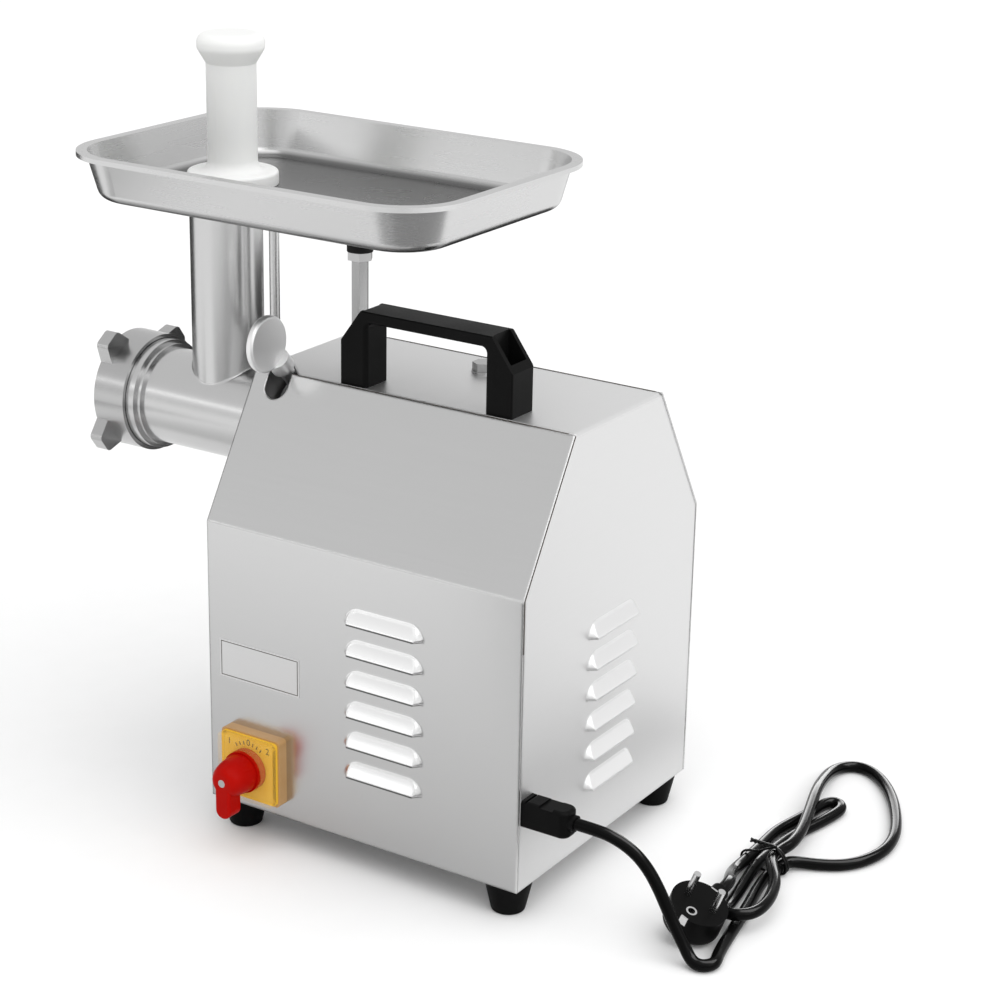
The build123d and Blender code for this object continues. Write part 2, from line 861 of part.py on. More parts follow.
# Perforated plate in front of the knife
with BuildPart() as grinding_plate:
    rod_y_axis(plate_rear, plate_front, plate_radius, head_height)
    rod_y_axis(plate_rear, plate_front, stud_end_radius + running, head_height, mode=Mode.SUBTRACT)
    rod_y_axis(plate_rear, plate_front, key_radius + slip, key_height, mode=Mode.SUBTRACT)
    with BuildSketch(across(plate_rear, head_height)):
        for ring_index in range(plate_hole_rings):
            ring_radius = plate_hole_circle_radius + ring_index * plate_hole_pitch
            hole_count = int(2 * pi * ring_radius / plate_hole_pitch)
            with PolarLocations(ring_radius, hole_count):
                Circle(plate_hole_radius)
    extrude(amount=plate_thickness, mode=Mode.SUBTRACT)
save(grinding_plate, "grinding_plate")

# Ring nut with four lugs
thread_radius = flange_radius + loose
ring_radius_outer = thread_radius + ring_wall
with BuildPart() as ring_nut:
    rod_y_axis(ring_rear, ring_front, ring_radius_outer, head_height)
    with BuildSketch(across(ring_front + lug_depth, head_height)) as lugs:
        with PolarLocations(0, lug_count, start_angle=180 / lug_count + lug_turn):
            Polygon(
                (thread_radius, -lug_base / 2),
                (lug_reach, -lug_tip / 2),
                (lug_reach, lug_tip / 2),
                (thread_radius, lug_base / 2),
                align=None,
            )
        tips = lugs.vertices().filter_by(lambda corner: Vector(corner).length > lug_reach)
        fillet(tips, radius=lug_round)
    extrude(amount=lug_depth)
    rod_y_axis(ring_rear, ring_seat, thread_radius, head_height, mode=Mode.SUBTRACT)
    rod_y_axis(ring_seat, ring_front, ring_opening, head_height, mode=Mode.SUBTRACT)
save(ring_nut, "ring_nut")

# Tray: a pressed pan with a turned-down lip and a skirted feed hole
tray_y = tray_rear - tray_length / 2
rim_top = tray_floor + tray_depth
pan_width = tray_width - 2 * tray_lip
pan_length = tray_length - 2 * tray_lip
pan_corner = tray_corner - tray_lip
wall_lean = degrees(atan(tray_lean / tray_depth))


def pan_shape(inset, base, mode):
    """The pan's outer form, drawn in by a sheet thickness, from its floor up past the rim."""
    shrink = 2 * (tray_lean + inset)
    with BuildSketch(Plane.XY.offset(base)) as outline:
        with Locations((0, tray_y)):
            RectangleRounded(pan_width - shrink, pan_length - shrink, pan_corner - tray_lean - inset)
    return extrude(outline.sketch, amount=rim_top - base, taper=-wall_lean, mode=mode)


with BuildPart() as pan_hollow:
    pan_shape(tray_sheet, tray_floor + tray_sheet, Mode.ADD)
    fillet(pan_hollow.faces().sort_by(Axis.Z)[0].edges(), radius=tray_fillet - tray_sheet)

with BuildPart() as tray:
    pan_shape(0.0, tray_floor, Mode.ADD)
    fillet(tray.faces().sort_by(Axis.Z)[0].edges(), radius=tray_fillet)
    with BuildSketch(Plane.XY.offset(rim_top - tray_lip_turn)):
        with Locations((0, tray_y)):
            RectangleRounded(tray_width, tray_length, tray_corner)
            lip_width = tray_width - 2 * tray_sheet
            lip_length = tray_length - 2 * tray_sheet
            RectangleRounded(lip_width, lip_length, tray_corner - tray_sheet, mode=Mode.SUBTRACT)
    extrude(amount=tray_lip_turn)
    with BuildSketch(Plane.XY.offset(rim_top - tray_sheet)):
        with Locations((0, tray_y)):
            RectangleRounded(tray_width, tray_length, tray_corner)
    extrude(amount=tray_sheet)
    skirt_bottom = tray_floor - skirt_length
    rod_z_axis(0, tube_y, skirt_bottom, tray_floor, skirt_radius)
    add(pan_hollow.part, mode=Mode.SUBTRACT)
    rod_z_axis(0, tube_y, skirt_bottom, tray_floor + tray_sheet, skirt_bore, mode=Mode.SUBTRACT)
save(tray, "tray")

# Pusher: plunger, collar on the tray floor, stick and cap, turned in one piece.
# It stands to one side of the hole
collar_under = tray_floor + tray_sheet + rubbing
collar_top = collar_under + pusher_flange
pusher_top = collar_under + pusher_height
cap_low = pusher_top - pusher_cap + pusher_cap_taper
with BuildPart() as pusher:
    with BuildSketch(across(pusher_y, 0, pusher_x)):
        with BuildLine():
            Polyline(
                (0, collar_under - plunger_length),
                (plunger_radius, collar_under - plunger_length),
                (plunger_radius, collar_under),
                (pusher_flange_radius, collar_under),
                (pusher_flange_radius, collar_top),
                (pusher_stick_radius, collar_top),
                (pusher_stick_radius, pusher_top - pusher_cap),
                (pusher_cap_radius, cap_low),
                (pusher_cap_radius, pusher_top),
                (0, pusher_top),
                close=True,
            )
        make_face()
    revolve(axis=Axis((pusher_x, pusher_y, 0), (0, 0, 1)))
    rounds = pusher.edges().filter_by(GeomType.CIRCLE)
    collar_rounds = rounds.filter_by_position(Axis.Z, collar_top - near, collar_top + near)
    stick_foot, collar_rim = collar_rounds.sort_by(SortBy.RADIUS)
    cap_rim = rounds.sort_by(Axis.Z)[-1]
    cap_foot = rounds.filter_by_position(Axis.Z, cap_low - near, cap_low + near)
    plunger_rim = rounds.sort_by(Axis.Z)[0]
    fillet(stick_foot, radius=pusher_fillet)
    fillet([collar_rim, plunger_rim], radius=pusher_edge)
    fillet(cap_rim, radius=pusher_cap_round)
    fillet(cap_foot, radius=pusher_cap_under)
save(pusher, "pusher")

# Hex rod with a nut and a rubber buffer under the tray, and the thin stay on the barrel
with BuildPart() as tray_rod:
    with BuildSketch(Plane.XY.offset(z_top)):
        with Locations((0, rod_y)):
            RegularPolygon(rod_flats / 2, 6, major_radius=False, rotation=30)
    extrude(amount=rod_length)
    rod_z_axis(0, rod_y, z_top - sheet, z_top, stud_radius)
    rod_z_axis(0, rod_y, rod_top, rod_top + stud_reach, stud_radius)
save(tray_rod, "tray_rod")

with BuildPart() as rod_nut_piece:
    with BuildSketch(Plane.XY.offset(rod_top)):
        with Locations((0, rod_y)):
            RegularPolygon(rod_nut_flats / 2, 6, major_radius=False, rotation=30)
            Circle(stud_radius, mode=Mode.SUBTRACT)
    extrude(amount=rod_nut)
save(rod_nut_piece, "rod_nut")

with BuildPart() as rubber_buffer:
    rod_z_axis(0, rod_y, nut_top, tube_top, buffer_radius)
    rod_z_axis(0, rod_y, nut_top, rod_top + stud_reach, stud_radius, mode=Mode.SUBTRACT)
save(rubber_buffer, "rubber_buffer")

with BuildPart() as tray_stay:
    rod_z_axis(0, stay_y, barrel_crown - stay_depth, tube_top, stay_radius)
save(tray_stay, "tray_stay")


# Gears with involute flanks
def tooth_half_angle(radius, pitch, teeth):
    """Half the angle that a tooth covers at a radius, thinned for backlash."""
    base = pitch * cos(pressure_angle)
    roll = acos(base / max(radius, base))
    widen = tan(pressure_angle) - pressure_angle
    return pi / (2 * teeth) - backlash / (4 * pitch) + widen - (tan(roll) - roll)


def gear_blank(module, teeth, y_from, width, height, first):
    """Toothed disc between two places on an axis along Y, its first tooth centred on an angle."""
    pitch = module * teeth / 2
    radii = (pitch - root_depth * module, pitch - flank_depth * module, pitch, pitch + module)
    flank = [(radius, -tooth_half_angle(radius, pitch, teeth)) for radius in radii]
    tooth = flank + [(radius, -angle) for radius, angle in reversed(flank)]
    outline = []
    for index in range(teeth):
        centre = first + 2 * pi * index / teeth
        for radius, angle in tooth:
            outline.append((radius * cos(centre + angle), radius * sin(centre + angle)))
    with BuildSketch(across(y_from + width, height)) as profile:
        with BuildLine():
            Polyline(*outline, close=True)
        make_face()
    extrude(profile.sketch, amount=width)


def gear_recess(pitch, module, hub, y_from, width, height):
    """Thin the web between hub and rim from both faces."""
    rim = pitch - root_depth * module - gear_rim
    depth = (width - gear_web) / 2
    for start in (y_from, y_from + width - depth):
        end = start + depth
        turned([(start, hub), (start, rim), (end, rim), (end, hub)], height, mode=Mode.SUBTRACT)


with BuildPart() as lay_wheel:
    wheel_hub = lay_shaft_radius + gear_hub
    first_tooth = -pi / 2 + pi / wheel_teeth
    gear_blank(fine_module, wheel_teeth, fine_front, fine_width, lay_height, first_tooth)
    gear_recess(wheel_pitch, fine_module, wheel_hub, fine_front, fine_width, lay_height)
    rod_y_axis(fine_front, fine_rear, lay_shaft_radius, lay_height, mode=Mode.SUBTRACT)
save(lay_wheel, "lay_wheel")

with BuildPart() as lay_shaft:
    gear_blank(coarse_module, lay_teeth, gear_front, coarse_width, lay_height, pi / 2)
    rod_y_axis(box_front, box_rear - bush_gap, lay_shaft_radius, lay_height)
save(lay_shaft, "lay_shaft")

with BuildPart() as output_gear:
    output_hub = spindle_radius + gear_hub
    first_tooth = -pi / 2 + pi / output_teeth
    gear_blank(coarse_module, output_teeth, gear_front, coarse_width, head_height, first_tooth)
    gear_recess(output_pitch, coarse_module, output_hub, gear_front, coarse_width, head_height)
    rod_y_axis(gear_front, coarse_rear, spindle_radius, head_height, mode=Mode.SUBTRACT)
save(output_gear, "output_gear")

with BuildPart() as output_spindle:
    rod_y_axis(box_front, box_rear, spindle_radius, head_height)
    with BuildSketch(across(box_front, head_height)):
        Rectangle(drive_square, drive_square)
    extrude(amount=box_front - drive_front)
save(output_spindle, "output_spindle")


# Gearbox: casing with a foot, rear cover, bolts, bushes and oil seal
def gearbox_hull(y_from, depth, grow, mode=Mode.ADD):
    """Solid around the three gears, grown by an amount, between two places along Y."""
    with BuildSketch(across(y_from + depth)) as profile:
        with Locations((0, head_height)):
            Circle(output_pitch + coarse_module + grow)
        with Locations((0, lay_height)):
            Circle(wheel_pitch + fine_module + grow)
        with Locations((0, motor_height)):
            Circle(pinion_pitch + fine_module + grow)
        make_hull()
    extrude(profile.sketch, amount=depth, mode=mode)


rim_output = output_pitch + coarse_module + gear_room + gearbox_wall / 2
rim_lay = wheel_pitch + fine_module + gear_room + gearbox_wall / 2
bolt_spots = [(-rim_lay, lay_height), (rim_lay, lay_height)]
for angle in box_bolt_angles:
    bolt_x = rim_output * cos(radians(angle))
    bolt_spots.append((bolt_x, head_height + rim_output * sin(radians(angle))))
foot_middle = (box_front + cover_front) / 2

with BuildPart() as gearbox_casing:
    gearbox_hull(box_front, cover_front - box_front, box_grow)
    with BuildSketch(Plane.XY.offset(floor_top)):
        with Locations((0, foot_middle)):
            Rectangle(box_foot_width, box_foot_length)
    extrude(amount=box_foot_plate)
    with BuildSketch(Plane.XY.offset(floor_top)):
        with Locations((0, foot_middle)):
            Rectangle(box_foot_width, box_foot_post)
    extrude(amount=motor_height - floor_top)
    room_front = box_front + gearbox_wall
    gearbox_hull(room_front, cover_front - room_front, gear_room, mode=Mode.SUBTRACT)
    rod_y_axis(box_front, bush_front, spindle_bush + gearbox_wall, head_height)
    rod_y_axis(box_front, bush_front, lay_bush + gearbox_wall, lay_height)
    rod_y_axis(box_front, bush_front, spindle_bush, head_height, mode=Mode.SUBTRACT)
    rod_y_axis(box_front, bush_front, lay_bush, lay_height, mode=Mode.SUBTRACT)
    for x, z in bolt_spots:
        rod_y_axis(cover_front - box_bolt_reach, cover_front, box_bolt_radius, z, x, mode=Mode.SUBTRACT)
save(gearbox_casing, "gearbox_casing")

with BuildPart() as gearbox_cover:
    gearbox_hull(cover_front, gearbox_wall, box_grow)
    rod_y_axis(bush_rear, cover_front, spindle_bush + gearbox_wall, head_height)
    rod_y_axis(bush_rear, cover_front, lay_bush + gearbox_wall, lay_height)
    rod_y_axis(bush_rear, box_rear, spindle_bush, head_height, mode=Mode.SUBTRACT)
    rod_y_axis(bush_rear, box_rear, lay_bush, lay_height, mode=Mode.SUBTRACT)
    pinion_hole = pinion_pitch + fine_module + loose
    rod_y_axis(cover_front, box_rear, pinion_hole, motor_height, mode=Mode.SUBTRACT)
    for x, z in bolt_spots:
        rod_y_axis(cover_front, box_rear, box_bolt_radius, z, x, mode=Mode.SUBTRACT)
save(gearbox_cover, "gearbox_cover")

with BuildPart() as gearbox_bushes:
    for y_from, y_to, height, outer, inner in (
        (box_front + seal_width, bush_front, head_height, spindle_bush, spindle_radius),
        (bush_rear, box_rear, head_height, spindle_bush, spindle_radius),
        (box_front, bush_front, lay_height, lay_bush, lay_shaft_radius),
        (bush_rear, box_rear, lay_height, lay_bush, lay_shaft_radius),
    ):
        rod_y_axis(y_from, y_to, outer, height)
        rod_y_axis(y_from, y_to, inner + running, height, mode=Mode.SUBTRACT)
save(gearbox_bushes, "gearbox_bushes")

with BuildPart() as oil_seal:
    seal_end = box_front + seal_width
    rod_y_axis(box_front, seal_end, spindle_bush, head_height)
    rod_y_axis(box_front, seal_end, spindle_radius + running, head_height, mode=Mode.SUBTRACT)
save(oil_seal, "oil_seal")

with BuildPart() as gearbox_bolts:
    for x, z in bolt_spots:
        rod_y_axis(cover_front - box_bolt_reach, box_rear, box_bolt_radius, z, x)
        rod_y_axis(box_rear, box_rear + box_bolt_height, box_bolt_head, z, x)
save(gearbox_bolts, "gearbox_bolts")

# Motor: casing, stator, bells with bearings, rotor on its shaft, and fan
stator_bore = rotor_radius + air_gap
casing_bore = motor_radius - motor_wall

with BuildPart() as motor_casing:
    rod_y_axis(casing_front, casing_rear, motor_radius, motor_height)
    rod_y_axis(casing_front, casing_rear, casing_bore, motor_height, mode=Mode.SUBTRACT)
save(motor_casing, "motor_casing")

with BuildPart() as stator_core:
    with BuildSketch(across(stator_rear, motor_height)):
        Circle(casing_bore)
        Circle(stator_bore, mode=Mode.SUBTRACT)
        with PolarLocations(stator_bore + slot_depth / 2 - slot_wall, slot_count):
            Rectangle(slot_depth + 2 * slot_wall, slot_width, mode=Mode.SUBTRACT)
    extrude(amount=stator_length)
save(stator_core, "stator_core")

with BuildPart() as stator_winding:
    for y_from in (stator_front - winding_length, stator_rear):
        y_to = y_from + winding_length
        rod_y_axis(y_from, y_to, stator_bore + slot_depth - slot_wall, motor_height)
        rod_y_axis(y_from, y_to, stator_bore + slot_wall, motor_height, mode=Mode.SUBTRACT)
    with BuildSketch(across(stator_rear, motor_height)):
        with PolarLocations(stator_bore + slot_depth / 2, slot_count):
            Rectangle(slot_depth - 3 * slot_wall, slot_width - 2 * slot_wall)
    extrude(amount=stator_length)
save(stator_winding, "stator_winding")

bearing_fronts = (casing_front - bearing_width, casing_rear)
with BuildPart() as motor_bells:
    for bell_from, bearing_from in zip((box_rear, casing_rear), bearing_fronts):
        bell_to = bell_from + bell_thickness
        bearing_to = bearing_from + bearing_width
        rod_y_axis(bell_from, bell_to, motor_radius, motor_height)
        rod_y_axis(bearing_from, bearing_to, bearing_radius, motor_height, mode=Mode.SUBTRACT)
        rod_y_axis(bell_from, bell_to, shaft_radius + loose, motor_height, mode=Mode.SUBTRACT)
save(motor_bells, "motor_bells")

with BuildPart() as motor_bearings:
    for bearing_from in bearing_fronts:
        bearing_to = bearing_from + bearing_width
        rod_y_axis(bearing_from, bearing_to, bearing_radius, motor_height)
        rod_y_axis(bearing_from, bearing_to, shaft_radius + running, motor_height, mode=Mode.SUBTRACT)
save(motor_bearings, "motor_bearings")

with BuildPart() as motor_shaft:
    gear_blank(fine_module, motor_teeth, fine_front, fine_width, motor_height, pi / 2)
    rod_y_axis(fine_front, fan_rear, shaft_radius, motor_height)
save(motor_shaft, "motor_shaft")

with BuildPart() as rotor_core:
    rod_y_axis(stator_front, stator_rear, rotor_radius, motor_height)
    rod_y_axis(stator_front, stator_rear, shaft_radius, motor_height, mode=Mode.SUBTRACT)
save(rotor_core, "rotor_core")

with BuildPart() as cooling_fan:
    rod_y_axis(fan_front, fan_front + fan_disc, fan_radius, motor_height)
    rod_y_axis(fan_front, fan_rear, fan_hub_radius, motor_height)
    with BuildSketch(across(fan_rear, motor_height)):
        with PolarLocations((fan_hub_radius + fan_radius) / 2 - fan_blade, fan_blades):
            Rectangle(fan_radius - fan_hub_radius, fan_blade)
    extrude(amount=fan_width - fan_disc)
    rod_y_axis(fan_front, fan_rear, shaft_radius, motor_height, mode=Mode.SUBTRACT)
save(cooling_fan, "cooling_fan")

# Cradle that carries the motor on the base plate
casing_middle = (casing_front + casing_rear) / 2
saddle_edge = motor_height - sqrt(motor_radius**2 - (cradle_width / 2) ** 2)
window_top = motor_height - motor_radius - cradle_post
with BuildPart() as motor_cradle:
    with BuildSketch(across(casing_middle + cradle_length / 2)):
        with BuildLine():
            Polyline(
                (-cradle_width / 2, floor_top),
                (cradle_width / 2, floor_top),
                (cradle_width / 2, saddle_edge),
                (-cradle_width / 2, saddle_edge),
                close=True,
            )
        make_face()
        with BuildLine():
            Polyline(
                (cradle_post - cradle_width / 2, floor_top + cradle_plate),
                (cradle_width / 2 - cradle_post, floor_top + cradle_plate),
                (cradle_width / 2 - cradle_post, window_top),
                (cradle_post - cradle_width / 2, window_top),
                close=True,
            )
        make_face(mode=Mode.SUBTRACT)
        with Locations((0, motor_height)):
            Circle(motor_radius, mode=Mode.SUBTRACT)
    extrude(amount=cradle_length)
save(motor_cradle, "motor_cradle")

# Run capacitor and its clip
capacitor_z = floor_top + clip_wall + capacitor_radius
capacitor_rear = capacitor_front + capacitor_length
clip_middle = (capacitor_front + capacitor_rear) / 2
with BuildPart() as run_capacitor:
    rod_y_axis(capacitor_front, capacitor_rear, capacitor_radius, capacitor_z, capacitor_x)
save(run_capacitor, "run_capacitor")

with BuildPart() as capacitor_clip:
    clip_start = clip_middle - clip_width / 2
    clip_end = clip_middle + clip_width / 2
    rod_y_axis(clip_start, clip_end, capacitor_radius + clip_wall, capacitor_z, capacitor_x)
    with BuildSketch(Plane.XY.offset(floor_top)):
        with Locations((capacitor_x, clip_middle)):
            Rectangle(2 * (capacitor_radius + clip_foot), clip_width)
    extrude(amount=clip_wall)
    rod_y_axis(clip_start, clip_end, capacitor_radius, capacitor_z, capacitor_x, mode=Mode.SUBTRACT)
save(capacitor_clip, "capacitor_clip")


# Rotary switch: frame, dial, clear window, knob on a spindle, and the contact block behind the panel
def switch_face(x):
    """Plane square to X on the switch's axis: its x is +Y and its y is +Z."""
    return Plane(origin=(x, switch_y, switch_z), x_dir=(0, 1, 0), z_dir=(1, 0, 0))


with BuildPart() as switch_frame:
    with BuildSketch(switch_face(x_side)):
        RectangleRounded(switch_base, switch_base, switch_corner)
        Circle(switch_shaft + loose, mode=Mode.SUBTRACT)
    extrude(amount=switch_base_thickness)
save(switch_frame, "switch_frame")

with BuildPart() as switch_dial:
    with BuildSketch(switch_face(dial_x)):
        RectangleRounded(dial_size, dial_size, switch_corner)
        Circle(switch_shaft + loose, mode=Mode.SUBTRACT)
    extrude(amount=dial_thickness)
save(switch_dial, "switch_dial")

with BuildPart() as switch_window:
    with BuildSketch(switch_face(window_x)):
        RectangleRounded(dial_size, dial_size, switch_corner)
    extrude(amount=window_thickness)
    chamfer(switch_window.faces().sort_by(Axis.X)[-1].edges(), length=window_chamfer)
    with BuildSketch(switch_face(window_x)):
        Circle(knob_radius + loose)
    extrude(amount=window_thickness, mode=Mode.SUBTRACT)
    with BuildSketch(switch_face(window_x)):
        Rectangle(dial_size - 2 * window_rim, dial_size - 2 * window_rim)
    extrude(amount=window_pocket, mode=Mode.SUBTRACT)
save(switch_window, "switch_window")

with BuildPart() as knob_bar:
    with BuildSketch(switch_face(knob_front)):
        with Locations((0, (knob_nose - knob_reach) / 2)):
            SlotOverall(knob_nose + knob_reach, knob_grip, rotation=90)
    extrude(amount=-knob_grip_depth)
    fillet(knob_bar.faces().sort_by(Axis.X)[-1].edges(), radius=knob_edge)

with BuildPart() as switch_knob:
    with BuildSketch(switch_face(knob_x)):
        Circle(knob_radius)
    extrude(amount=knob_disc)
    with BuildSketch(across(switch_y, switch_z)):
        with BuildLine():
            Polyline((knob_front, knob_nose), (knob_front, 0), (grip_x, 0), (grip_x, knob_head))
            Bezier((grip_x, knob_head), (knob_front, knob_head), (knob_front, knob_nose))
        make_face()
    revolve(axis=Axis((0, switch_y, switch_z), (1, 0, 0)))
    add(knob_bar.part)
    with BuildSketch(switch_face(knob_front)):
        Circle(knob_screw_radius)
    extrude(amount=-knob_screw_depth, mode=Mode.SUBTRACT)
    with BuildSketch(switch_face(knob_x)):
        Circle(switch_shaft)
    extrude(amount=knob_disc, mode=Mode.SUBTRACT)
save(switch_knob, "switch_knob")

with BuildPart() as switch_spindle:
    with BuildSketch(switch_face(x_side - sheet - switch_shaft_depth)):
        Circle(switch_shaft)
    extrude(amount=knob_x + knob_disc - x_side + sheet + switch_shaft_depth)
    with BuildSketch(switch_face(knob_front)):
        Circle(knob_screw_radius)
    extrude(amount=-knob_screw_depth)
save(switch_spindle, "switch_spindle")

with BuildPart() as switch_body:
    with BuildSketch(switch_face(x_side - sheet)):
        RectangleRounded(switch_body_size, switch_body_size, switch_corner)
    extrude(amount=-switch_body_depth)
    with BuildSketch(switch_face(x_side - sheet)):
        Circle(switch_shaft + running)
    extrude(amount=-switch_shaft_depth - loose, mode=Mode.SUBTRACT)
save(switch_body, "switch_body")


# Power inlet with three contacts
def inlet_plane(y):
    """Plane square to Y on the inlet's axis that looks towards +Y: its x is -X and its y is +Z."""
    return Plane(origin=(inlet_x, y, inlet_z), x_dir=(-1, 0, 0), z_dir=(0, 1, 0))


inlet_body_width = inlet_width - 2 * inlet_rim
inlet_body_height = inlet_height - 2 * inlet_rim
recess_width = inlet_body_width - 2 * inlet_wall
recess_height = inlet_body_height - 2 * inlet_wall
inlet_rear = y_rear - inlet_depth
contact_places = [
    (-contact_spacing, -contact_drop),
    (0, earth_contact_rise),
    (contact_spacing, -contact_drop),
]

with BuildPart() as power_inlet:
    with BuildSketch(inlet_plane(y_rear)):
        RectangleRounded(inlet_width, inlet_height, inlet_corner)
    extrude(amount=inlet_flange)
    with BuildSketch(inlet_plane(inlet_rear)):
        Rectangle(inlet_body_width, inlet_body_height)
    extrude(amount=inlet_depth)
    with BuildSketch(inlet_plane(inlet_rear + inlet_floor)):
        Rectangle(recess_width, recess_height)
    extrude(amount=inlet_depth, mode=Mode.SUBTRACT)
    with BuildSketch(inlet_plane(inlet_rear)):
        with Locations(*contact_places):
            Rectangle(contact_thickness, contact_width)
    extrude(amount=inlet_floor, mode=Mode.SUBTRACT)
save(power_inlet, "power_inlet")

with BuildPart() as inlet_contacts:
    with BuildSketch(inlet_plane(inlet_rear - contact_tail)):
        with Locations(*contact_places):
            Rectangle(contact_thickness, contact_width)
    extrude(amount=contact_tail + inlet_floor + contact_length)
save(inlet_contacts, "inlet_contacts")

# Connector of the mains lead: a moulded body, a nose in the inlet and a short collar round the cord
cord_exit_z = inlet_z + cord_exit_rise
cord_start_y = connector_end + collar_length
with BuildPart() as cord_connector:
    with BuildSketch(Plane.XY.offset(inlet_z - connector_height / 2)) as plan:
        with Locations((inlet_x, (inlet_face + connector_end) / 2)):
            Rectangle(connector_width, connector_length)
        fillet(plan.vertices().group_by(Axis.Y)[-1], radius=connector_round)
    extrude(amount=connector_height)
    fillet(cord_connector.faces().filter_by(Axis.Z).edges(), radius=connector_edge)
    with BuildSketch(Plane.XY.offset(inlet_z + connector_height / 2)):
        with Locations((inlet_x, (inlet_face + connector_end) / 2)):
            Rectangle(connector_width, connector_dip_length)
    extrude(amount=-connector_dip, mode=Mode.SUBTRACT)
    with BuildSketch(inlet_plane(connector_end - connector_round)):
        with Locations((0, cord_exit_rise)):
            Circle(cord_radius + collar_wall)
    extrude(amount=connector_round + collar_length)
    with BuildSketch(inlet_plane(inlet_face)):
        Rectangle(recess_width - 2 * slip, recess_height - 2 * slip)
    extrude(amount=-nose_length)
    with BuildSketch(inlet_plane(inlet_face)):
        with Locations(*contact_places):
            Rectangle(contact_thickness + 2 * slip, contact_width + 2 * slip)
    extrude(amount=-nose_length, mode=Mode.SUBTRACT)
save(cord_connector, "cord_connector")


# Mains lead: routes chosen by hand, in straight runs joined by the largest tangent arcs that fit
cord_start = (inlet_x, cord_start_y, cord_exit_z)
tie_entry = (tie_x, 231.5, 5.8)
drop_route = [
    cord_start,
    (inlet_x, 170.0, cord_exit_z),
    (98.6, 181.0, 76.6),
    (97.0, 191.0, 73.0),
    (95.2, 200.2, 67.0),
    (93.6, 208.2, 58.2),
    (92.4, 215.1, 46.9),
    (91.5, 221.2, 34.4),
    (91.2, 227.6, 22.4),
    (91.7, 234.0, 13.5),
    (93.3, 239.0, 7.3),
    (94.7, 243.7, 4.7),
    (93.8, 248.7, 4.2),
    (90.2, 252.3, 4.2),
    (85.2, 253.4, 4.2),
    (75.5, 250.2, 4.2),
    (58.0, 246.3, 4.2),
    (35.0, 242.0, 4.2),
    (9.0, 236.9, 4.2),
    (-12.0, 232.0, 4.2),
    (-31.0, 229.5, 5.3),
    tie_entry,
]
hank_route = [
    tie_entry,
    (-55.0, 232.7, 6.1),
    (-61.5, 239.5, 4.9),
    (-67.0, 251.0, 4.2),
    (-75.0, 264.0, 4.2),
    (-89.0, 273.5, 4.2),
    (-110.0, 278.5, 4.2),
    (-133.0, 275.5, 4.2),
    (-158.0, 265.5, 4.2),
    (-186.0, 250.0, 4.2),
    (-206.0, 234.0, 4.2),
    (-217.5, 219.0, 4.2),
    (-218.5, 206.5, 4.2),
    (-210.0, 198.5, 4.4),
    (-195.0, 196.7, 6.0),
    (-171.0, 201.5, 10.0),
    (-148.0, 208.0, 13.4),
    (-120.0, 217.0, 13.6),
    (-92.0, 225.5, 13.4),
    (-68.0, 230.0, 13.6),
    (-53.0, 227.3, 13.4),
    (-40.0, 227.6, 13.6),
    (-27.0, 235.0, 14.2),
    (-13.0, 244.5, 14.0),
    (4.0, 250.5, 13.4),
    (20.0, 253.0, 13.4),
    (32.0, 251.5, 13.4),
    (39.5, 246.0, 13.7),
    (40.5, 238.5, 12.8),
    (34.0, 232.0, 9.0),
    (23.0, 228.0, 5.4),
    (10.0, 225.5, 4.2),
    (-5.0, 223.0, 4.2),
    (-22.0, 220.0, 4.8),
    (-40.0, 217.3, 5.8),
    (-57.0, 216.6, 5.4),
    (-76.0, 216.0, 4.2),
    (-100.0, 218.6, 4.2),
    (-121.0, 223.6, 4.2),
    (-137.0, 229.0, 4.2),
    (-149.5, 231.0, 4.2),
    (-154.7, 225.4, 4.2),
    (-154.0, 218.0, 4.2),
    (-147.5, 213.8, 4.2),
    (-134.0, 212.5, 4.2),
    (-116.0, 209.0, 4.2),
    (-94.0, 204.8, 4.2),
    (-72.0, 206.0, 4.6),
    (-56.0, 207.6, 5.6),
    (-40.0, 208.3, 5.8),
    (-24.0, 209.0, 6.8),
    (-10.0, 213.5, 10.8),
    (4.0, 220.0, 16.5),
    (17.5, 225.9, 20.2),
    (28.4, 225.5, 19.2),
]


def corner_radii(route):
    """Radius of the arc at each inner point of a route: as large as the two runs beside it allow."""
    radii = []
    for before, corner, after in zip(route, route[1:], route[2:]):
        run_in = Vector(corner) - Vector(before)
        run_out = Vector(after) - Vector(corner)
        half_turn = radians(run_in.get_angle(run_out)) / 2
        radii.append(arc_share * min(run_in.length, run_out.length) / tan(half_turn))
    return radii


def least_gap(path, apart):
    """Least clear space between stretches of a tube that are further apart along it than a distance."""
    count = int(path.length / probe_step)
    points = [path @ (index / count) for index in range(count + 1)]
    skip = int(apart / probe_step)
    pairs = [(a, b) for i, a in enumerate(points) for b in points[i + skip:]]
    return min((a - b).length for a, b in pairs) - 2 * cord_radius


def make_lead(route, name):
    """Sweep the cord along a route, print its radii, length, volume and least gap, and write it."""
    radii = corner_radii(route)
    with BuildPart() as lead:
        with BuildLine() as line:
            FilletPolyline(*route, radius=radii)
        path = line.wire()
        with BuildSketch(Plane(origin=path @ 0, z_dir=path % 0)):
            Circle(cord_radius)
        sweep(path=path)
    section = pi * cord_radius**2
    print(name, "radii", [round(radius, 1) for radius in radii])
    print(name, "length", round(path.length, 1), "volume", round(lead.part.volume))
    print(name, "section times length", round(section * path.length))
    print(name, "least gap", round(least_gap(path, 6 * cord_radius), 2))
    save(lead, name)


make_lead(drop_route, "power_cord")
make_lead(hank_route, "cord_hank")

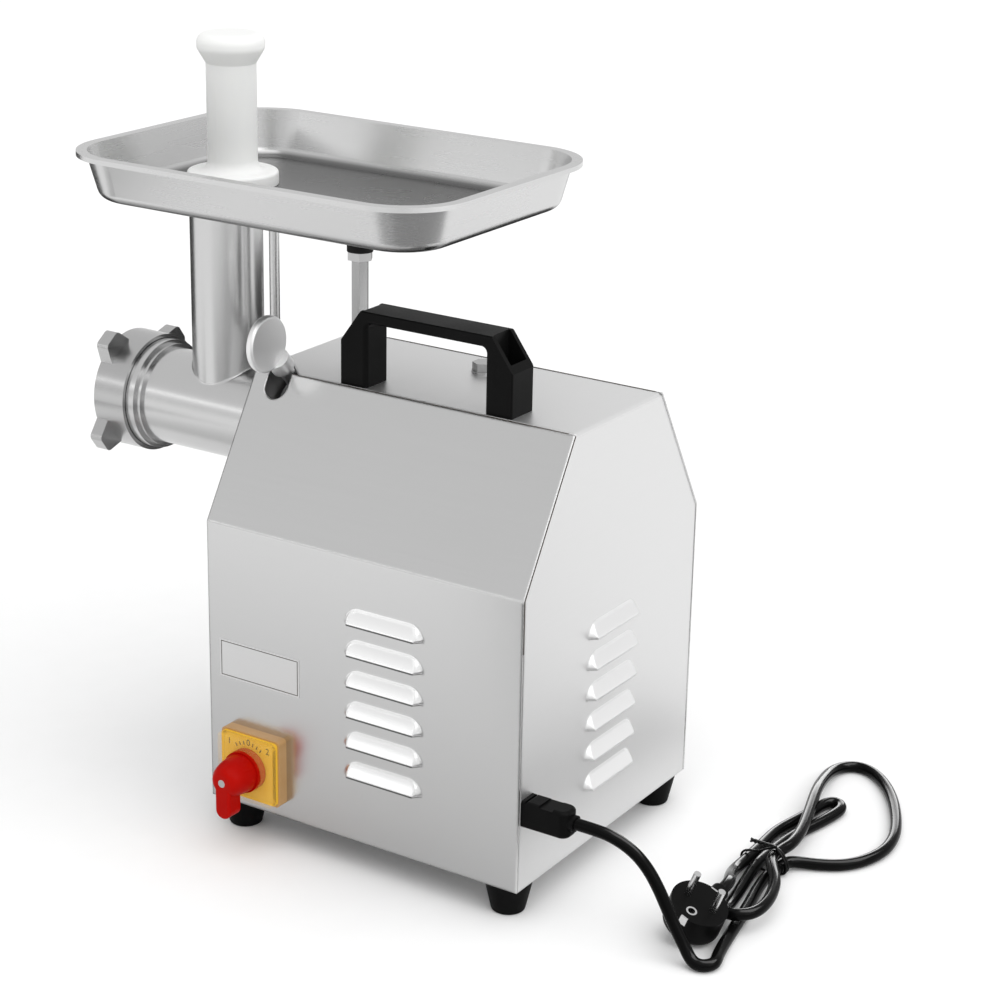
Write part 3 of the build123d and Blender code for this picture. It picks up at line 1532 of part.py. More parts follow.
# Tie round the four strands of the hank
tie_strands = [tie_entry[1:], (227.7, 13.5), (217.0, 5.7), (208.0, 5.7)]
with BuildPart() as cord_tie:
    for room, mode in ((tie_room + tie_wall, Mode.ADD), (tie_room, Mode.SUBTRACT)):
        with BuildSketch(lengthwise(0, tie_x)):
            with Locations(*tie_strands):
                Circle(cord_radius + room)
            make_hull()
        extrude(amount=tie_width / 2, both=True, mode=mode)
save(cord_tie, "cord_tie")

# Mains plug: a round body that leans on its rim, with pins, a neck for the cord and earth contacts
plug_exit = Vector(hank_route[-1])
neck_line = (Vector(hank_route[-2]) - plug_exit).normalized()
plug_side = Vector(*plug_lean).cross(neck_line).normalized()
plug_axis = neck_line.cross(plug_side)
plug_back = plug_exit - neck_line * (plug_radius + plug_neck) - plug_axis * plug_exit_height


def plug_plane(rise):
    """Plane square to the plug's axis at a height over its back: its x points to the cord."""
    return Plane(origin=plug_back + plug_axis * rise, x_dir=neck_line, z_dir=plug_axis)


pin_places = [(0, -pin_spacing / 2), (0, pin_spacing / 2)]
strip_reach = plug_radius - earth_strip_thickness / 2
strip_spots = [(strip_reach, 0), (-strip_reach, 0)]
strip_length = plug_thickness - plug_exit_height - plug_neck_radius

with BuildPart() as mains_plug:
    with BuildSketch(plug_plane(0)):
        Circle(plug_radius)
    extrude(amount=plug_thickness)
    back_rim = mains_plug.faces().sort_by(Axis(plug_back, plug_axis))[0].edges()
    fillet(back_rim, radius=plug_edge)
    with BuildSketch(Plane(origin=plug_back + plug_axis * plug_exit_height, z_dir=neck_line)):
        Circle(plug_neck_radius)
    extrude(amount=plug_radius + plug_neck)
    with BuildSketch(plug_plane(plug_thickness)):
        with Locations(*pin_places):
            Circle(pin_radius)
        with Locations((-earth_offset, 0)):
            Circle(earth_ring)
    extrude(amount=-pin_root, mode=Mode.SUBTRACT)
    with BuildSketch(plug_plane(plug_thickness)):
        with Locations(*strip_spots):
            Rectangle(earth_strip_thickness, earth_strip_width)
    extrude(amount=-strip_length, mode=Mode.SUBTRACT)
save(mains_plug, "mains_plug")

with BuildPart() as plug_pins:
    with BuildSketch(plug_plane(plug_thickness - pin_root)):
        with Locations(*pin_places):
            Circle(pin_radius)
    extrude(amount=pin_root + pin_length)
    with BuildSketch(plug_plane(plug_thickness - pin_root)):
        with Locations((-earth_offset, 0)):
            Circle(earth_ring)
            Circle(earth_hole, mode=Mode.SUBTRACT)
    extrude(amount=pin_root)
    with BuildSketch(plug_plane(plug_thickness - strip_length)):
        with Locations(*strip_spots):
            Rectangle(earth_strip_thickness, earth_strip_width)
    extrude(amount=strip_length)
save(plug_pins, "plug_pins")
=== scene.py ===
# %% [markdown]
# Electric meat grinder, dressed for the camera
#
# The solids of this machine come from a CAD program: every panel, gear and screw is already the right size
# and in the right place. Blender's work is what a photograph shows beyond size: the satin of the sheet steel,
# the mould texture of the black plastic, the milky pusher, the cord that lies on the floor.
# The first cell loads the solids as a fixed frame.

# %% Load the frame
from math import cos, pi, radians, sin

import bmesh
import bpy
from mathutils import Matrix, Vector


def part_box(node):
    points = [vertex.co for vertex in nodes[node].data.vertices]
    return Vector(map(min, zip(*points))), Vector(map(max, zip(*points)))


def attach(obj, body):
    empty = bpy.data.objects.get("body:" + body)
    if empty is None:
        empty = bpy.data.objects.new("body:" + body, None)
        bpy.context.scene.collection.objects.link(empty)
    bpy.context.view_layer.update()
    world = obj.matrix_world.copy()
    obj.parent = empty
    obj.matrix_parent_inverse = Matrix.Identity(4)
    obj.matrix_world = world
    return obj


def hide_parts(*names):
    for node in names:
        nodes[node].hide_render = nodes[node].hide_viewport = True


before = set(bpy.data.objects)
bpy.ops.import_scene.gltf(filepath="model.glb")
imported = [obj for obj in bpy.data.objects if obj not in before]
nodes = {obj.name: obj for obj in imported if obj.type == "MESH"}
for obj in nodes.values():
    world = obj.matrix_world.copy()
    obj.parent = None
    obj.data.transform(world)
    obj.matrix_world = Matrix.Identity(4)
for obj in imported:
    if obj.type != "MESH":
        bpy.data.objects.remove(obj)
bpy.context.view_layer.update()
MM = 0.001

# %% [markdown]
# The camera
#
# The photograph was taken from behind and a little above, with a long lens, so that upright edges stay almost
# parallel. The camera is set by three angles, as a photographer would say it: how far round the machine, how
# far above the floor, and how far the camera body is rolled. A lens of 89 mm keeps the same slight
# convergence. There is no depth of field, because the machine is sharp from the ring nut to the plug.

# %% Place the camera
azimuth = radians(122.389)
elevation = radians(19.758)
roll = radians(1.176)

back = Vector((sin(azimuth) * cos(elevation), -cos(azimuth) * cos(elevation), sin(elevation)))
level_right = Vector((cos(azimuth), sin(azimuth), 0))
level_up = back.cross(level_right)
right = level_right * cos(roll) + level_up * sin(roll)
up = level_up * cos(roll) - level_right * sin(roll)

camera = bpy.data.objects.new("camera", bpy.data.cameras.new("camera"))
camera.data.lens = 89.06
camera.data.sensor_width = 36
camera.matrix_world = Matrix((right, up, back)).transposed().to_4x4()
camera.location = (1.2929, 0.8550, 0.7866)
bpy.context.scene.collection.objects.link(camera)
bpy.context.scene.camera = camera
print("camera at", [round(x, 3) for x in camera.location])

# %% [markdown]
# The route of the mains lead
#
# A lead is one length of something flexible: it leaves the connector level, sinks to the floor under its own
# weight, runs to the tie, folds into a loose hank and ends in the plug. It could be a chain of cylinders or a
# swept mesh, but a smooth curve is simpler: points in millimetres pull its line towards them, and the curve
# rounds every bend by itself. The points stand in four lists, one for each stretch.

# %% Route of the lead
drop_points = [
    (99.5, 159.0, 77.6), (99.5, 170.0, 77.6), (98.6, 181.0, 76.6), (97.0, 191.0, 73.0),
    (95.2, 200.2, 67.0), (93.6, 208.2, 58.2), (92.4, 215.1, 46.9), (91.5, 221.2, 34.4),
    (91.2, 227.6, 22.4), (91.7, 234.0, 13.5),
    (93.3, 239.0, 7.3), (94.7, 243.7, 4.7), (93.8, 248.7, 4.2), (90.2, 252.3, 4.2),
    (85.2, 253.4, 4.2), (75.5, 250.2, 4.2), (58.0, 246.3, 4.2), (35.0, 242.0, 4.2),
    (9.0, 236.9, 4.2), (-12.0, 232.0, 4.2), (-31.0, 229.5, 5.3), (-46.0, 231.5, 5.8),
]
big_loop_points = [
    (-55.0, 232.7, 6.1), (-61.5, 239.5, 4.9), (-67.0, 251.0, 4.2), (-75.0, 264.0, 4.2),
    (-89.0, 273.5, 4.2), (-110.0, 278.5, 4.2), (-133.0, 275.5, 4.2), (-158.0, 265.5, 4.2),
    (-186.0, 250.0, 4.2), (-206.0, 234.0, 4.2), (-217.5, 219.0, 4.2), (-218.5, 206.5, 4.2),
    (-210.0, 198.5, 4.4), (-195.0, 196.7, 6.0), (-171.0, 201.5, 10.0), (-148.0, 208.0, 13.4),
    (-120.0, 217.0, 13.6), (-92.0, 225.5, 13.4), (-68.0, 230.0, 13.6), (-53.0, 227.3, 13.4),
]
near_fold_points = [
    (-40.0, 227.6, 13.6), (-27.0, 235.0, 14.2), (-13.0, 244.5, 14.0), (4.0, 250.5, 13.4),
    (20.0, 253.0, 13.4), (32.0, 251.5, 13.4), (39.5, 246.0, 13.7), (40.5, 238.5, 12.8),
    (34.0, 232.0, 9.0), (23.0, 228.0, 5.4), (10.0, 225.5, 4.2), (-5.0, 223.0, 4.2),
    (-22.0, 220.0, 4.8), (-40.0, 217.3, 5.8), (-57.0, 216.6, 5.4), (-76.0, 216.0, 4.2),
]
hairpin_points = [
    (-100.0, 218.6, 4.2), (-121.0, 223.6, 4.2), (-137.0, 226.6, 4.2), (-149.0, 227.6, 4.2),
    (-156.0, 223.6, 4.2), (-156.0, 217.0, 4.2), (-148.5, 213.6, 4.2), (-134.0, 212.5, 4.2),
    (-116.0, 209.0, 4.2), (-94.0, 204.8, 4.2), (-72.0, 206.0, 4.6), (-56.0, 207.6, 5.6),
    (-40.0, 208.3, 5.8), (-24.0, 209.0, 6.8), (-10.0, 213.5, 10.8), (4.0, 220.0, 16.5),
    (17.5, 225.9, 20.2), (28.4, 225.5, 19.2),
]
lead_points = drop_points + big_loop_points + near_fold_points + hairpin_points
print("lead points:", len(lead_points))

# %% [markdown]
# From a line to a cord
#
# A NURBS curve of order 3 stays close to its points and touches the first and the last one. Its round bevel
# makes the cord, with the radius kept on the points, so one helper serves the thick lead and the thin wire of
# its tie. The order is set when the points are there, because a curve without points drops it to 2.

# %% Lay the lead
lead_radius = 4.0 * MM


def smooth_line(name, points, radius):
    """A round cord along a NURBS curve whose control points are given in millimetres."""
    curve = bpy.data.curves.new(name, "CURVE")
    curve.dimensions = "3D"
    curve.bevel_depth = 1.0
    curve.bevel_resolution = 6
    curve.resolution_u = 10
    curve.use_fill_caps = True
    spline = curve.splines.new("NURBS")
    spline.points.add(len(points) - 1)
    for control, (x, y, z) in zip(spline.points, points):
        control.co = (x * MM, y * MM, z * MM, 1)
        control.radius = radius
    spline.order_u = 3
    spline.use_endpoint_u = True
    line = bpy.data.objects.new(name, curve)
    bpy.context.scene.collection.objects.link(line)
    return line


mains_lead = smooth_line("mains_lead", lead_points, lead_radius)
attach(mains_lead, "machine")
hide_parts("power_cord", "cord_hank")
print("lead thickness:", round(2 * lead_radius, 4))

# %% [markdown]
# The tie
#
# The hank is held by a plastic-coated wire, wound once and a half round four strands and twisted on top. A
# strap cut from sheet would look too stiff, so the wire is a second, thinner curve. It goes round the strands
# as a hand would wind it, with the two ends turned about each other.

# %% Wind the tie
tie_x = -46.0
wire_radius = 0.8 * MM
tie_round = [
    (231.6, 0.9), (236.6, 2.8), (237.4, 8.0), (234.0, 14.4), (229.5, 18.8), (224.6, 18.2),
    (215.0, 12.6), (206.5, 11.4), (202.7, 8.0), (203.4, 2.6), (208.2, 0.8), (219.0, 0.8),
]
first_turn_x, second_turn_x, drift = tie_x - 1.4, tie_x + 1.6, 0.23
tie_points = [(first_turn_x + drift * step, y, z) for step, (y, z) in enumerate(tie_round)]
tie_points += [(second_turn_x, y, z) for y, z in tie_round[:5]]

twist_x, twist_y, twist_z = tie_x + 1.5, 228.0, 20.2
twist_turns, quarter_run = 3, 1.5
half_width, half_height = 1.1, 1.0
tail_points = []
for step in range(4 * twist_turns + 1):
    angle = step * pi / 2
    across, rise = half_width * sin(angle), half_height * cos(angle)
    tail_points.append((twist_x + across, twist_y - quarter_run * step, twist_z + rise))
second_tail = [(2 * twist_x - x, y, 2 * twist_z - z) for x, y, z in tail_points]
tie_wire = smooth_line("tie_wire", tie_points + tail_points, wire_radius)
tie_tail = smooth_line("tie_tail", second_tail, wire_radius)
for wire in (tie_wire, tie_tail):
    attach(wire, "machine")
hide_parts("cord_tie")
print("tie points:", len(tie_points) + len(tail_points))

# %% [markdown]
# Shader sums in plain Python
#
# A material is a graph of small nodes. Wiring it by hand takes a dozen lines for one sum, so this class wraps
# a socket and lets Python's own operators add the Math nodes: `1 - mask` or `grain * 0.1 + 0.3` read as they
# would on paper. Every other kind of node comes from one method, `node`, which sets the node's settings first
# and then fills or links its sockets.

# %% The class for shader sums
class Wire:
    """An output socket in one material's graph that takes part in Python sums."""

    def __init__(self, tree, socket=None):
        self.tree = tree
        self.socket = socket

    def node(self, kind, settings=None, inputs=None, output=0):
        """Add a node, with its settings set first, then its sockets filled or linked."""
        made = self.tree.nodes.new(kind)
        for key, value in (settings or {}).items():
            setattr(made, key, value)
        for key, value in (inputs or {}).items():
            if isinstance(value, Wire):
                self.tree.links.new(value.socket, made.inputs[key])
            else:
                made.inputs[key].default_value = value
        return Wire(self.tree, made.outputs[output])

    def maths(self, operation, first, second=0.0):
        return self.node("ShaderNodeMath", {"operation": operation}, {0: first, 1: second})

    def __add__(self, other):
        return self.maths("ADD", self, other)

    def __sub__(self, other):
        return self.maths("SUBTRACT", self, other)

    def __rsub__(self, other):
        return self.maths("SUBTRACT", other, self)

    def __mul__(self, other):
        return self.maths("MULTIPLY", self, other)

    def __truediv__(self, other):
        return self.maths("DIVIDE", self, other)

    def __rtruediv__(self, other):
        return self.maths("DIVIDE", other, self)

    def __mod__(self, other):
        return self.maths("FLOORED_MODULO", self, other)

    def __rmod__(self, other):
        return self.maths("FLOORED_MODULO", other, self)

    def __gt__(self, other):
        return self.maths("GREATER_THAN", self, other)

    def __lt__(self, other):
        return self.maths("LESS_THAN", self, other)

    __radd__ = __add__
    __rmul__ = __mul__

    def mix(self, low, high):
        """This value, from 0 to 1, picks between two colours."""
        sockets = {0: self, 6: low, 7: high}
        return self.node("ShaderNodeMix", {"data_type": "RGBA"}, sockets, output=2)


def grey(level):
    return (level, level, level, 1)


print("Wire is ready")

# %% [markdown]
# A finish to start from
#
# Each finish is one Principled shader. What is the same all over, such as the index of refraction, is set on
# the shader's own socket. What changes over the surface is a sum of noises measured in the machine's own
# metres, so the grain is as fine on a gear as on a panel and moves with the piece when the piece moves.

# %% Helpers for finishes
class Finish:
    """A Principled material, the places on the object's surface, and what feeds the shader."""

    def __init__(self, name, constants=None):
        self.name = name
        self.material = bpy.data.materials.new(name)
        self.material.use_nodes = True
        tree = self.material.node_tree
        self.shader = next(node for node in tree.nodes if node.type == "BSDF_PRINCIPLED")
        for socket, value in (constants or {}).items():
            self.shader.inputs[socket].default_value = value
        self.wire = Wire(tree)
        self.place = self.wire.node("ShaderNodeTexCoord", output="Object")

    def feed(self, socket, value):
        """Link a varying value to one of the shader's sockets."""
        self.wire.tree.links.new(value.socket, self.shader.inputs[socket])

    def stretched(self, scale):
        """The place on the surface, stretched by a factor along each axis."""
        return self.wire.node("ShaderNodeMapping", inputs={"Vector": self.place, "Scale": scale})

    def noise(self, scale, detail=2.0, place=None):
        """Cloudy noise between 0 and 1, so many lumps to the metre."""
        sockets = {"Vector": place or self.place, "Scale": scale, "Detail": detail}
        return self.wire.node("ShaderNodeTexNoise", inputs=sockets)

    def axis(self, name):
        """One coordinate of the place, in metres."""
        return self.wire.node("ShaderNodeSeparateXYZ", inputs={"Vector": self.place}, output=name)

    def bump(self, height, strength, distance, soft=0.0):
        """Let a height tilt the surface's normal, and round sharp edges over a width."""
        sockets = {"Height": height, "Strength": strength, "Distance": distance}
        if soft:
            sockets["Normal"] = self.wire.node("ShaderNodeBevel", {"samples": 8}, {"Radius": soft})
        self.feed("Normal", self.wire.node("ShaderNodeBump", inputs=sockets))


finishes = {}


def keep(finish):
    """Store a finish under its name and hand it back."""
    finishes[finish.name] = finish.material
    return finish


print("finishes start empty")

# %% [markdown]
# Pressed hoods
#
# The louvres' hoods lean upwards and catch the sky, so they look paler than the flat panel. They could be
# pieces of their own, but they are pressed from the same sheet, so the finish paints that sky light into the
# colour: what faces up, below a height, gets paler tones that change with height. The rear and top panels are
# one sheet, so the top panel gets such painted light too. Under the cut lip at the foot of a side hood, shade
# is painted as a thin dark line. These hoods repeat at one pitch, so the remainder of a division finds every
# lip.

# %% Painted light on what faces up
hood_top = 0.21
facing_up = 0.15
louvre_pitch = 21.5 * MM
lip_shade_height = 0.9 * MM
lip_shade_tone = 0.18


def paint_sky_light(finish, colour, low_tone, high_tone, top, lowest_lip=None):
    """Paint sky light on what faces up below a height, and painted shade under the hoods' lips from the
    lowest one up.
    """
    normal = finish.wire.node("ShaderNodeTexCoord", output="Normal")
    slope = finish.wire.node("ShaderNodeSeparateXYZ", inputs={"Vector": normal}, output="Z")
    height = finish.axis("Z")
    painted_sky_light = (slope > facing_up) * (height < top)
    # Painted sky light: paler tones on what faces up below the top, changing with height.
    colour = painted_sky_light.mix(colour, (height / top).mix(grey(low_tone), grey(high_tone)))
    if lowest_lip is None:
        return colour
    # Painted shade: a thin dark line under each side hood's cut lip.
    lip = painted_sky_light * ((height - lowest_lip) % louvre_pitch < lip_shade_height)
    return lip.mix(colour, grey(lip_shade_tone))


print("hoods end at", hood_top)

# %% [markdown]
# Brushed and satin steel
#
# Stainless sheet is ground with a belt, so it has fine scratches in one direction, and hands leave faint
# smudges. A picture of scratches could be pasted on, but noise stretched along one axis gives the same
# streaks at any size. The streaks move the roughness and the normal a little, the smudges the roughness and
# the tone. One function makes all the bare steel: what differs is tone, gloss and direction, and on the two
# sheet covers the painted sky light of the hoods. Folded sheet has soft edges, which the bevel in `bump`
# gives to the shading. The tray's floor gets painted shade: a mask by height gives it a darker tone than its
# walls.

# %% Steel finishes
def steel(name, tone, rough, grain, depth=0.06, soft=0.0, painted_sky_light=None):
    """Ground steel whose scratches are fine where the grain's scale is high."""
    finish = keep(Finish(name, {"Metallic": 1.0}))
    streaks = finish.noise(1.0, 3.0, finish.stretched(grain))
    fine = finish.noise(3.1, 2.0, finish.stretched(grain))
    smudges = finish.noise(9.0, 3.0)
    clouds = finish.noise(2.3, 2.0)
    shade = clouds * 0.5 + streaks * 0.3 + smudges * 0.2
    colour = shade.mix(grey(tone * 0.96), grey(tone * 1.04))
    if painted_sky_light:
        colour = paint_sky_light(finish, colour, *painted_sky_light)
    finish.feed("Base Color", colour)
    finish.feed("Roughness", rough - 0.04 + streaks * 0.04 + smudges * 0.04)
    finish.bump(streaks * 0.6 + fine * 0.4, depth, 0.0001, soft)
    return finish


fold = 2.5 * MM
side_lip = 69.0 * MM
past_the_roof = 0.40
# Painted light on the hoods and the top panel, and painted shade under the side hoods' lips.
steel("cover_steel", 0.62, 0.22, (520, 9, 520), soft=fold, painted_sky_light=(0.78, 0.98, hood_top, side_lip))
steel("wrap_steel", 0.73, 0.42, (9, 520, 520), soft=fold, painted_sky_light=(0.96, 0.77, past_the_roof))
steel("barrel_steel", 0.60, 0.26, (14, 620, 14))
steel("ring_steel", 0.50, 0.26, (40, 320, 40))
steel("paddle_steel", 0.88, 0.44, (60, 460, 60))
steel("rod_steel", 0.36, 0.24, (40, 40, 300))
# Painted shade: the tray's floor gets a darker tone than its walls, by a mask by height.
wall_tone, floor_shade_tone = 0.62, 0.18
tray_steel = steel("tray_steel", wall_tone, 0.27, (16, 16, 420), 0.010)
floor_drop, floor_fade = 27.0 * MM, 3.0 * MM
floor_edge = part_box("tray")[1].z - floor_drop
floor_shade_mask = (floor_edge - tray_steel.axis("Z")) / floor_fade
tray_steel.feed("Base Color", floor_shade_mask.mix(grey(wall_tone), grey(floor_shade_tone)))
steel("zinc_steel", 0.52, 0.36, (260, 260, 90))
steel("inner_sheet", 0.48, 0.42, (9, 300, 300))
steel("ground_blade", 0.46, 0.28, (300, 40, 300))
print("steels:", sorted(finishes))

# %% [markdown]
# Black mouldings and rubber
#
# The handle, the plug and the connector are spark-eroded plastic: a fine, even pebble that spreads the light,
# with a slightly polished look where hands rub. Rubber feet and the cord are duller or smoother. All of them
# are nearly black, so what the eye reads is the gloss: the pebble feeds the bump, slow clouds the roughness.

# %% Black finishes
def moulded(name, tone, rough, pebble, depth, shine=0.10):
    """Dark moulded plastic or rubber with a pebbled skin."""
    finish = keep(Finish(name, {"Specular IOR Level": shine}))
    skin = finish.noise(pebble, 2.0)
    wear = finish.noise(38.0, 4.0)
    dust = finish.noise(210.0, 3.0)
    tint = wear * 0.7 + dust * 0.3
    finish.feed("Base Color", tint.mix(grey(tone * 0.7), grey(tone * 1.5)))
    finish.feed("Roughness", rough - 0.08 + wear * 0.14 + skin * 0.04)
    finish.bump(skin * 0.8 + dust * 0.2, depth, 0.0002)


moulded("handle_plastic", 0.004, 0.34, 2600, 0.16, 0.055)
moulded("foot_rubber", 0.004, 0.50, 1500, 0.18, 0.04)
moulded("lead_skin", 0.003, 0.16, 1200, 0.03, 0.05)
moulded("plug_plastic", 0.004, 0.30, 2400, 0.14, 0.05)
moulded("inlet_plastic", 0.004, 0.34, 2000, 0.15, 0.05)
moulded("fan_plastic", 0.020, 0.45, 1800, 0.18, 0.3)
moulded("tie_coat", 0.005, 0.26, 1500, 0.06, 0.12)
moulded("seal_rubber", 0.012, 0.55, 1400, 0.18)
print("finishes so far:", len(finishes))

# %% [markdown]
# White pusher, red knob, yellow dial
#
# The pusher is natural polyethylene: light goes in, scatters and comes out softened, which Principled's
# subsurface does. The knob is glossy red plastic with flow marks too faint to name, the dial a printed yellow
# plate, and the bonnet over it clear plastic that has yellowed a little, so its edges look like honey.

# %% Coloured plastics
def plastic(name, low, high, rough, lumps, depth, constants=None):
    """Coloured plastic that drifts between two tones."""
    finish = keep(Finish(name, constants))
    drift = finish.noise(lumps, 3.0)
    skin = finish.noise(900.0, 2.0)
    finish.feed("Base Color", drift.mix(low, high))
    finish.feed("Roughness", rough - 0.04 + drift * 0.06 + skin * 0.03)
    finish.bump(skin * 0.5 + drift * 0.5, depth, 0.0002)


plastic(
    "pusher_plastic", (0.80, 0.81, 0.80, 1), (0.85, 0.85, 0.84, 1), 0.40, 26.0, 0.05,
    {
        "Subsurface Weight": 0.35, "Subsurface Scale": 0.012, "Subsurface Radius": (1.0, 1.0, 0.95),
        "Specular IOR Level": 0.2,
    },
)
plastic(
    "knob_plastic", (0.35, 0.002, 0.001, 1), (0.44, 0.004, 0.001, 1), 0.30, 60.0, 0.04,
    {"Specular IOR Level": 0.05},
)
plastic(
    "dial_plate", (0.78, 0.46, 0.03, 1), (0.88, 0.54, 0.05, 1), 0.45, 70.0, 0.03,
    {"Specular IOR Level": 0.2},
)
plastic("frame_plastic", (0.42, 0.23, 0.08, 1), (0.52, 0.31, 0.13, 1), 0.24, 90.0, 0.04)
plastic(
    "clear_bonnet", (0.82, 0.58, 0.16, 1), (0.92, 0.66, 0.24, 1), 0.08, 50.0, 0.02,
    {"Alpha": 0.12, "Specular IOR Level": 0.2},
)
plastic("case_plastic", (0.68, 0.68, 0.64, 1), (0.76, 0.76, 0.72, 1), 0.40, 40.0, 0.05)
# Dark ink for the dial's print and the plate's border, also used for the painted shade in the seams.
plastic("ink_and_seam_shade", (0.030, 0.022, 0.016, 1), (0.050, 0.036, 0.024, 1), 0.50, 200.0, 0.02)
print("finishes so far:", len(finishes))

# %% [markdown]
# Inside the housing
#
# Nobody sees the gearbox until a cover comes off, but it gets the same care. Castings have a sandy skin,
# gears wear a film of dark oil, the cores are stacks of thin sheet and the winding is varnished wire laid in
# turns. Each could be plain grey, but a short function for each kind of surface costs little.

# %% Metals of the drive
def cast(name, tone, rough):
    """A sand casting: lumpy at two sizes, dull, a little darker in the hollows."""
    finish = keep(Finish(name, {"Metallic": 1.0}))
    sand = finish.noise(620.0, 4.0)
    lumps = finish.noise(110.0, 2.0)
    skin = sand * 0.6 + lumps * 0.4
    finish.feed("Base Color", skin.mix(grey(tone * 0.75), grey(tone * 1.15)))
    finish.feed("Roughness", rough - 0.08 + sand * 0.16)
    finish.bump(skin, 0.45, 0.0004)


def oiled(name, tone, rough):
    """Machined steel under patches of dark oil."""
    finish = keep(Finish(name, {"Metallic": 1.0}))
    cut = finish.noise(1.0, 2.0, finish.stretched((300, 900, 300)))
    film = finish.noise(34.0, 4.0)
    finish.feed("Base Color", film.mix((tone * 0.5, tone * 0.44, tone * 0.36, 1), grey(tone * 1.2)))
    finish.feed("Roughness", rough + cut * 0.12 - film * 0.10)
    finish.bump(cut, 0.15, 0.0002)


def banded(name, low, high, rough, direction, turns, metal):
    """Fine parallel bands: sheets in a stack, or wires laid side by side."""
    finish = keep(Finish(name, {"Metallic": metal}))
    sockets = {"Vector": finish.place, "Scale": turns, "Distortion": 0.6, "Detail": 2.0}
    bands = finish.wire.node("ShaderNodeTexWave", {"bands_direction": direction}, sockets)
    patches = finish.noise(45.0, 3.0)
    finish.feed("Base Color", (bands * 0.7 + patches * 0.3).mix(low, high))
    finish.feed("Roughness", rough + patches * 0.12)
    finish.bump(bands, 0.5, 0.0004)


cast("cast_alloy", 0.52, 0.50)
cast("bush_bronze_metal", 0.30, 0.38)
oiled("gear_metal", 0.42, 0.26)
oiled("contact_brass_metal", 0.62, 0.24)
steel("pin_nickel", 0.62, 0.22, (300, 300, 40))
banded("core_sheets", grey(0.16), grey(0.34), 0.42, "Y", 320.0, 1.0)
banded("winding_wire", (0.28, 0.09, 0.03, 1), (0.52, 0.20, 0.07, 1), 0.30, "DIAGONAL", 260.0, 0.6)
moulded("motor_enamel", 0.035, 0.38, 700, 0.25, 0.4)
print("finishes:", len(finishes))

# %% [markdown]
# Dressing the solids
#
# Every solid that stays in sight keeps its own mesh and gets one finish. A table of finish to nodes is easier
# to check than sixty separate lines, and the cell stops if a node is forgotten or named twice.

# %% Give each node its finish
wardrobe = {
    "cover_steel": "side_cover_switch side_cover_plain",
    "wrap_steel": "housing_wrap",
    "tray_steel": "tray",
    "barrel_steel": "grinder_head tray_stay",
    "ring_steel": "ring_nut",
    "paddle_steel": "locking_screw",
    "rod_steel": "tray_rod",
    "zinc_steel": "foot_screws handle_screws top_bolt rod_nut gearbox_bolts switch_spindle",
    "inner_sheet": "base_plate capacitor_clip motor_cradle",
    "ground_blade": "auger cross_knife grinding_plate",
    "handle_plastic": "carrying_handle",
    "foot_rubber": "foot_rear_left foot_front_left foot_rear_right foot_front_right",
    "seal_rubber": "rubber_buffer oil_seal",
    "plug_plastic": "mains_plug cord_connector",
    "inlet_plastic": "power_inlet switch_body",
    "fan_plastic": "cooling_fan",
    "lead_skin": "power_cord cord_hank",
    "tie_coat": "cord_tie",
    "pusher_plastic": "pusher",
    "knob_plastic": "switch_knob",
    "dial_plate": "switch_dial",
    "frame_plastic": "switch_frame",
    "clear_bonnet": "switch_window",
    "case_plastic": "run_capacitor",
    "cast_alloy": "head_socket gearbox_casing gearbox_cover motor_bells",
    "bush_bronze_metal": "auger_bush gearbox_bushes",
    "gear_metal": "lay_wheel lay_shaft output_gear output_spindle motor_shaft motor_bearings",
    "contact_brass_metal": "inlet_contacts",
    "pin_nickel": "plug_pins",
    "core_sheets": "stator_core rotor_core",
    "winding_wire": "stator_winding",
    "motor_enamel": "motor_casing",
}


def dress(piece, finish):
    """Replace a piece's material slots by one finish."""
    piece.data.materials.clear()
    piece.data.materials.append(finishes[finish])


dressed = []
for finish, names in wardrobe.items():
    for name in names.split():
        dress(nodes[name], finish)
        dressed.append(name)
assert sorted(dressed) == sorted(nodes), set(nodes) ^ set(dressed)
dress(mains_lead, "lead_skin")
dress(tie_wire, "tie_coat")
dress(tie_tail, "tie_coat")
print("dressed:", len(dressed))

# %% [markdown]
# Small trim
#
# Printing, plates and the dark bars of painted seam shade are thin things that sit on a panel and go where
# the machine goes. Each is placed by one matrix, takes a finish and rides on the machine's body. That is the
# same for all of them, so one helper does it, and a second makes the thin bars that most of them are.

# %% Helpers for trim
line_thickness = 0.12 * MM


def add_trim(name, data, place, finish):
    """Put a small fixed piece on the machine."""
    piece = bpy.data.objects.new(name, data)
    piece.matrix_world = place
    bpy.context.scene.collection.objects.link(piece)
    dress(piece, finish)
    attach(piece, "machine")


def bar_mesh(name, width, height):
    """A thin bar with its middle at the origin."""
    mesh = bpy.data.meshes.new(name)
    shape = bmesh.new()
    bmesh.ops.create_cube(shape, size=1.0)
    bmesh.ops.scale(shape, vec=(width, height, line_thickness), verts=shape.verts)
    bmesh.ops.bevel(shape, geom=shape.edges, offset=line_thickness * 0.3, segments=1, affect="EDGES")
    shape.to_mesh(mesh)
    shape.free()
    return mesh


print("bars are", round(line_thickness / MM, 2), "mm thick")

# %% [markdown]
# Printing on the dial
#
# The plate under the knob is printed with the switch's positions. Only plain numerals and an arc of ticks are
# put there. Text objects in Blender are curves with a thickness, so three short ones and a few thin bars are
# enough, laid a hair above the plate, under the clear bonnet.

# %% Dial numerals and ticks
dial_low, dial_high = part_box("switch_dial")
dial_middle = (dial_low + dial_high) / 2
facing_out = Matrix(((0, 0, 1), (1, 0, 0), (0, 1, 0))).to_4x4()
ink_lift = 0.15 * MM
numeral_size, numeral_thickness = 6.4 * MM, 0.05 * MM
tick_width, tick_height, tick_reach = 0.8 * MM, 2.6 * MM, 18.0 * MM


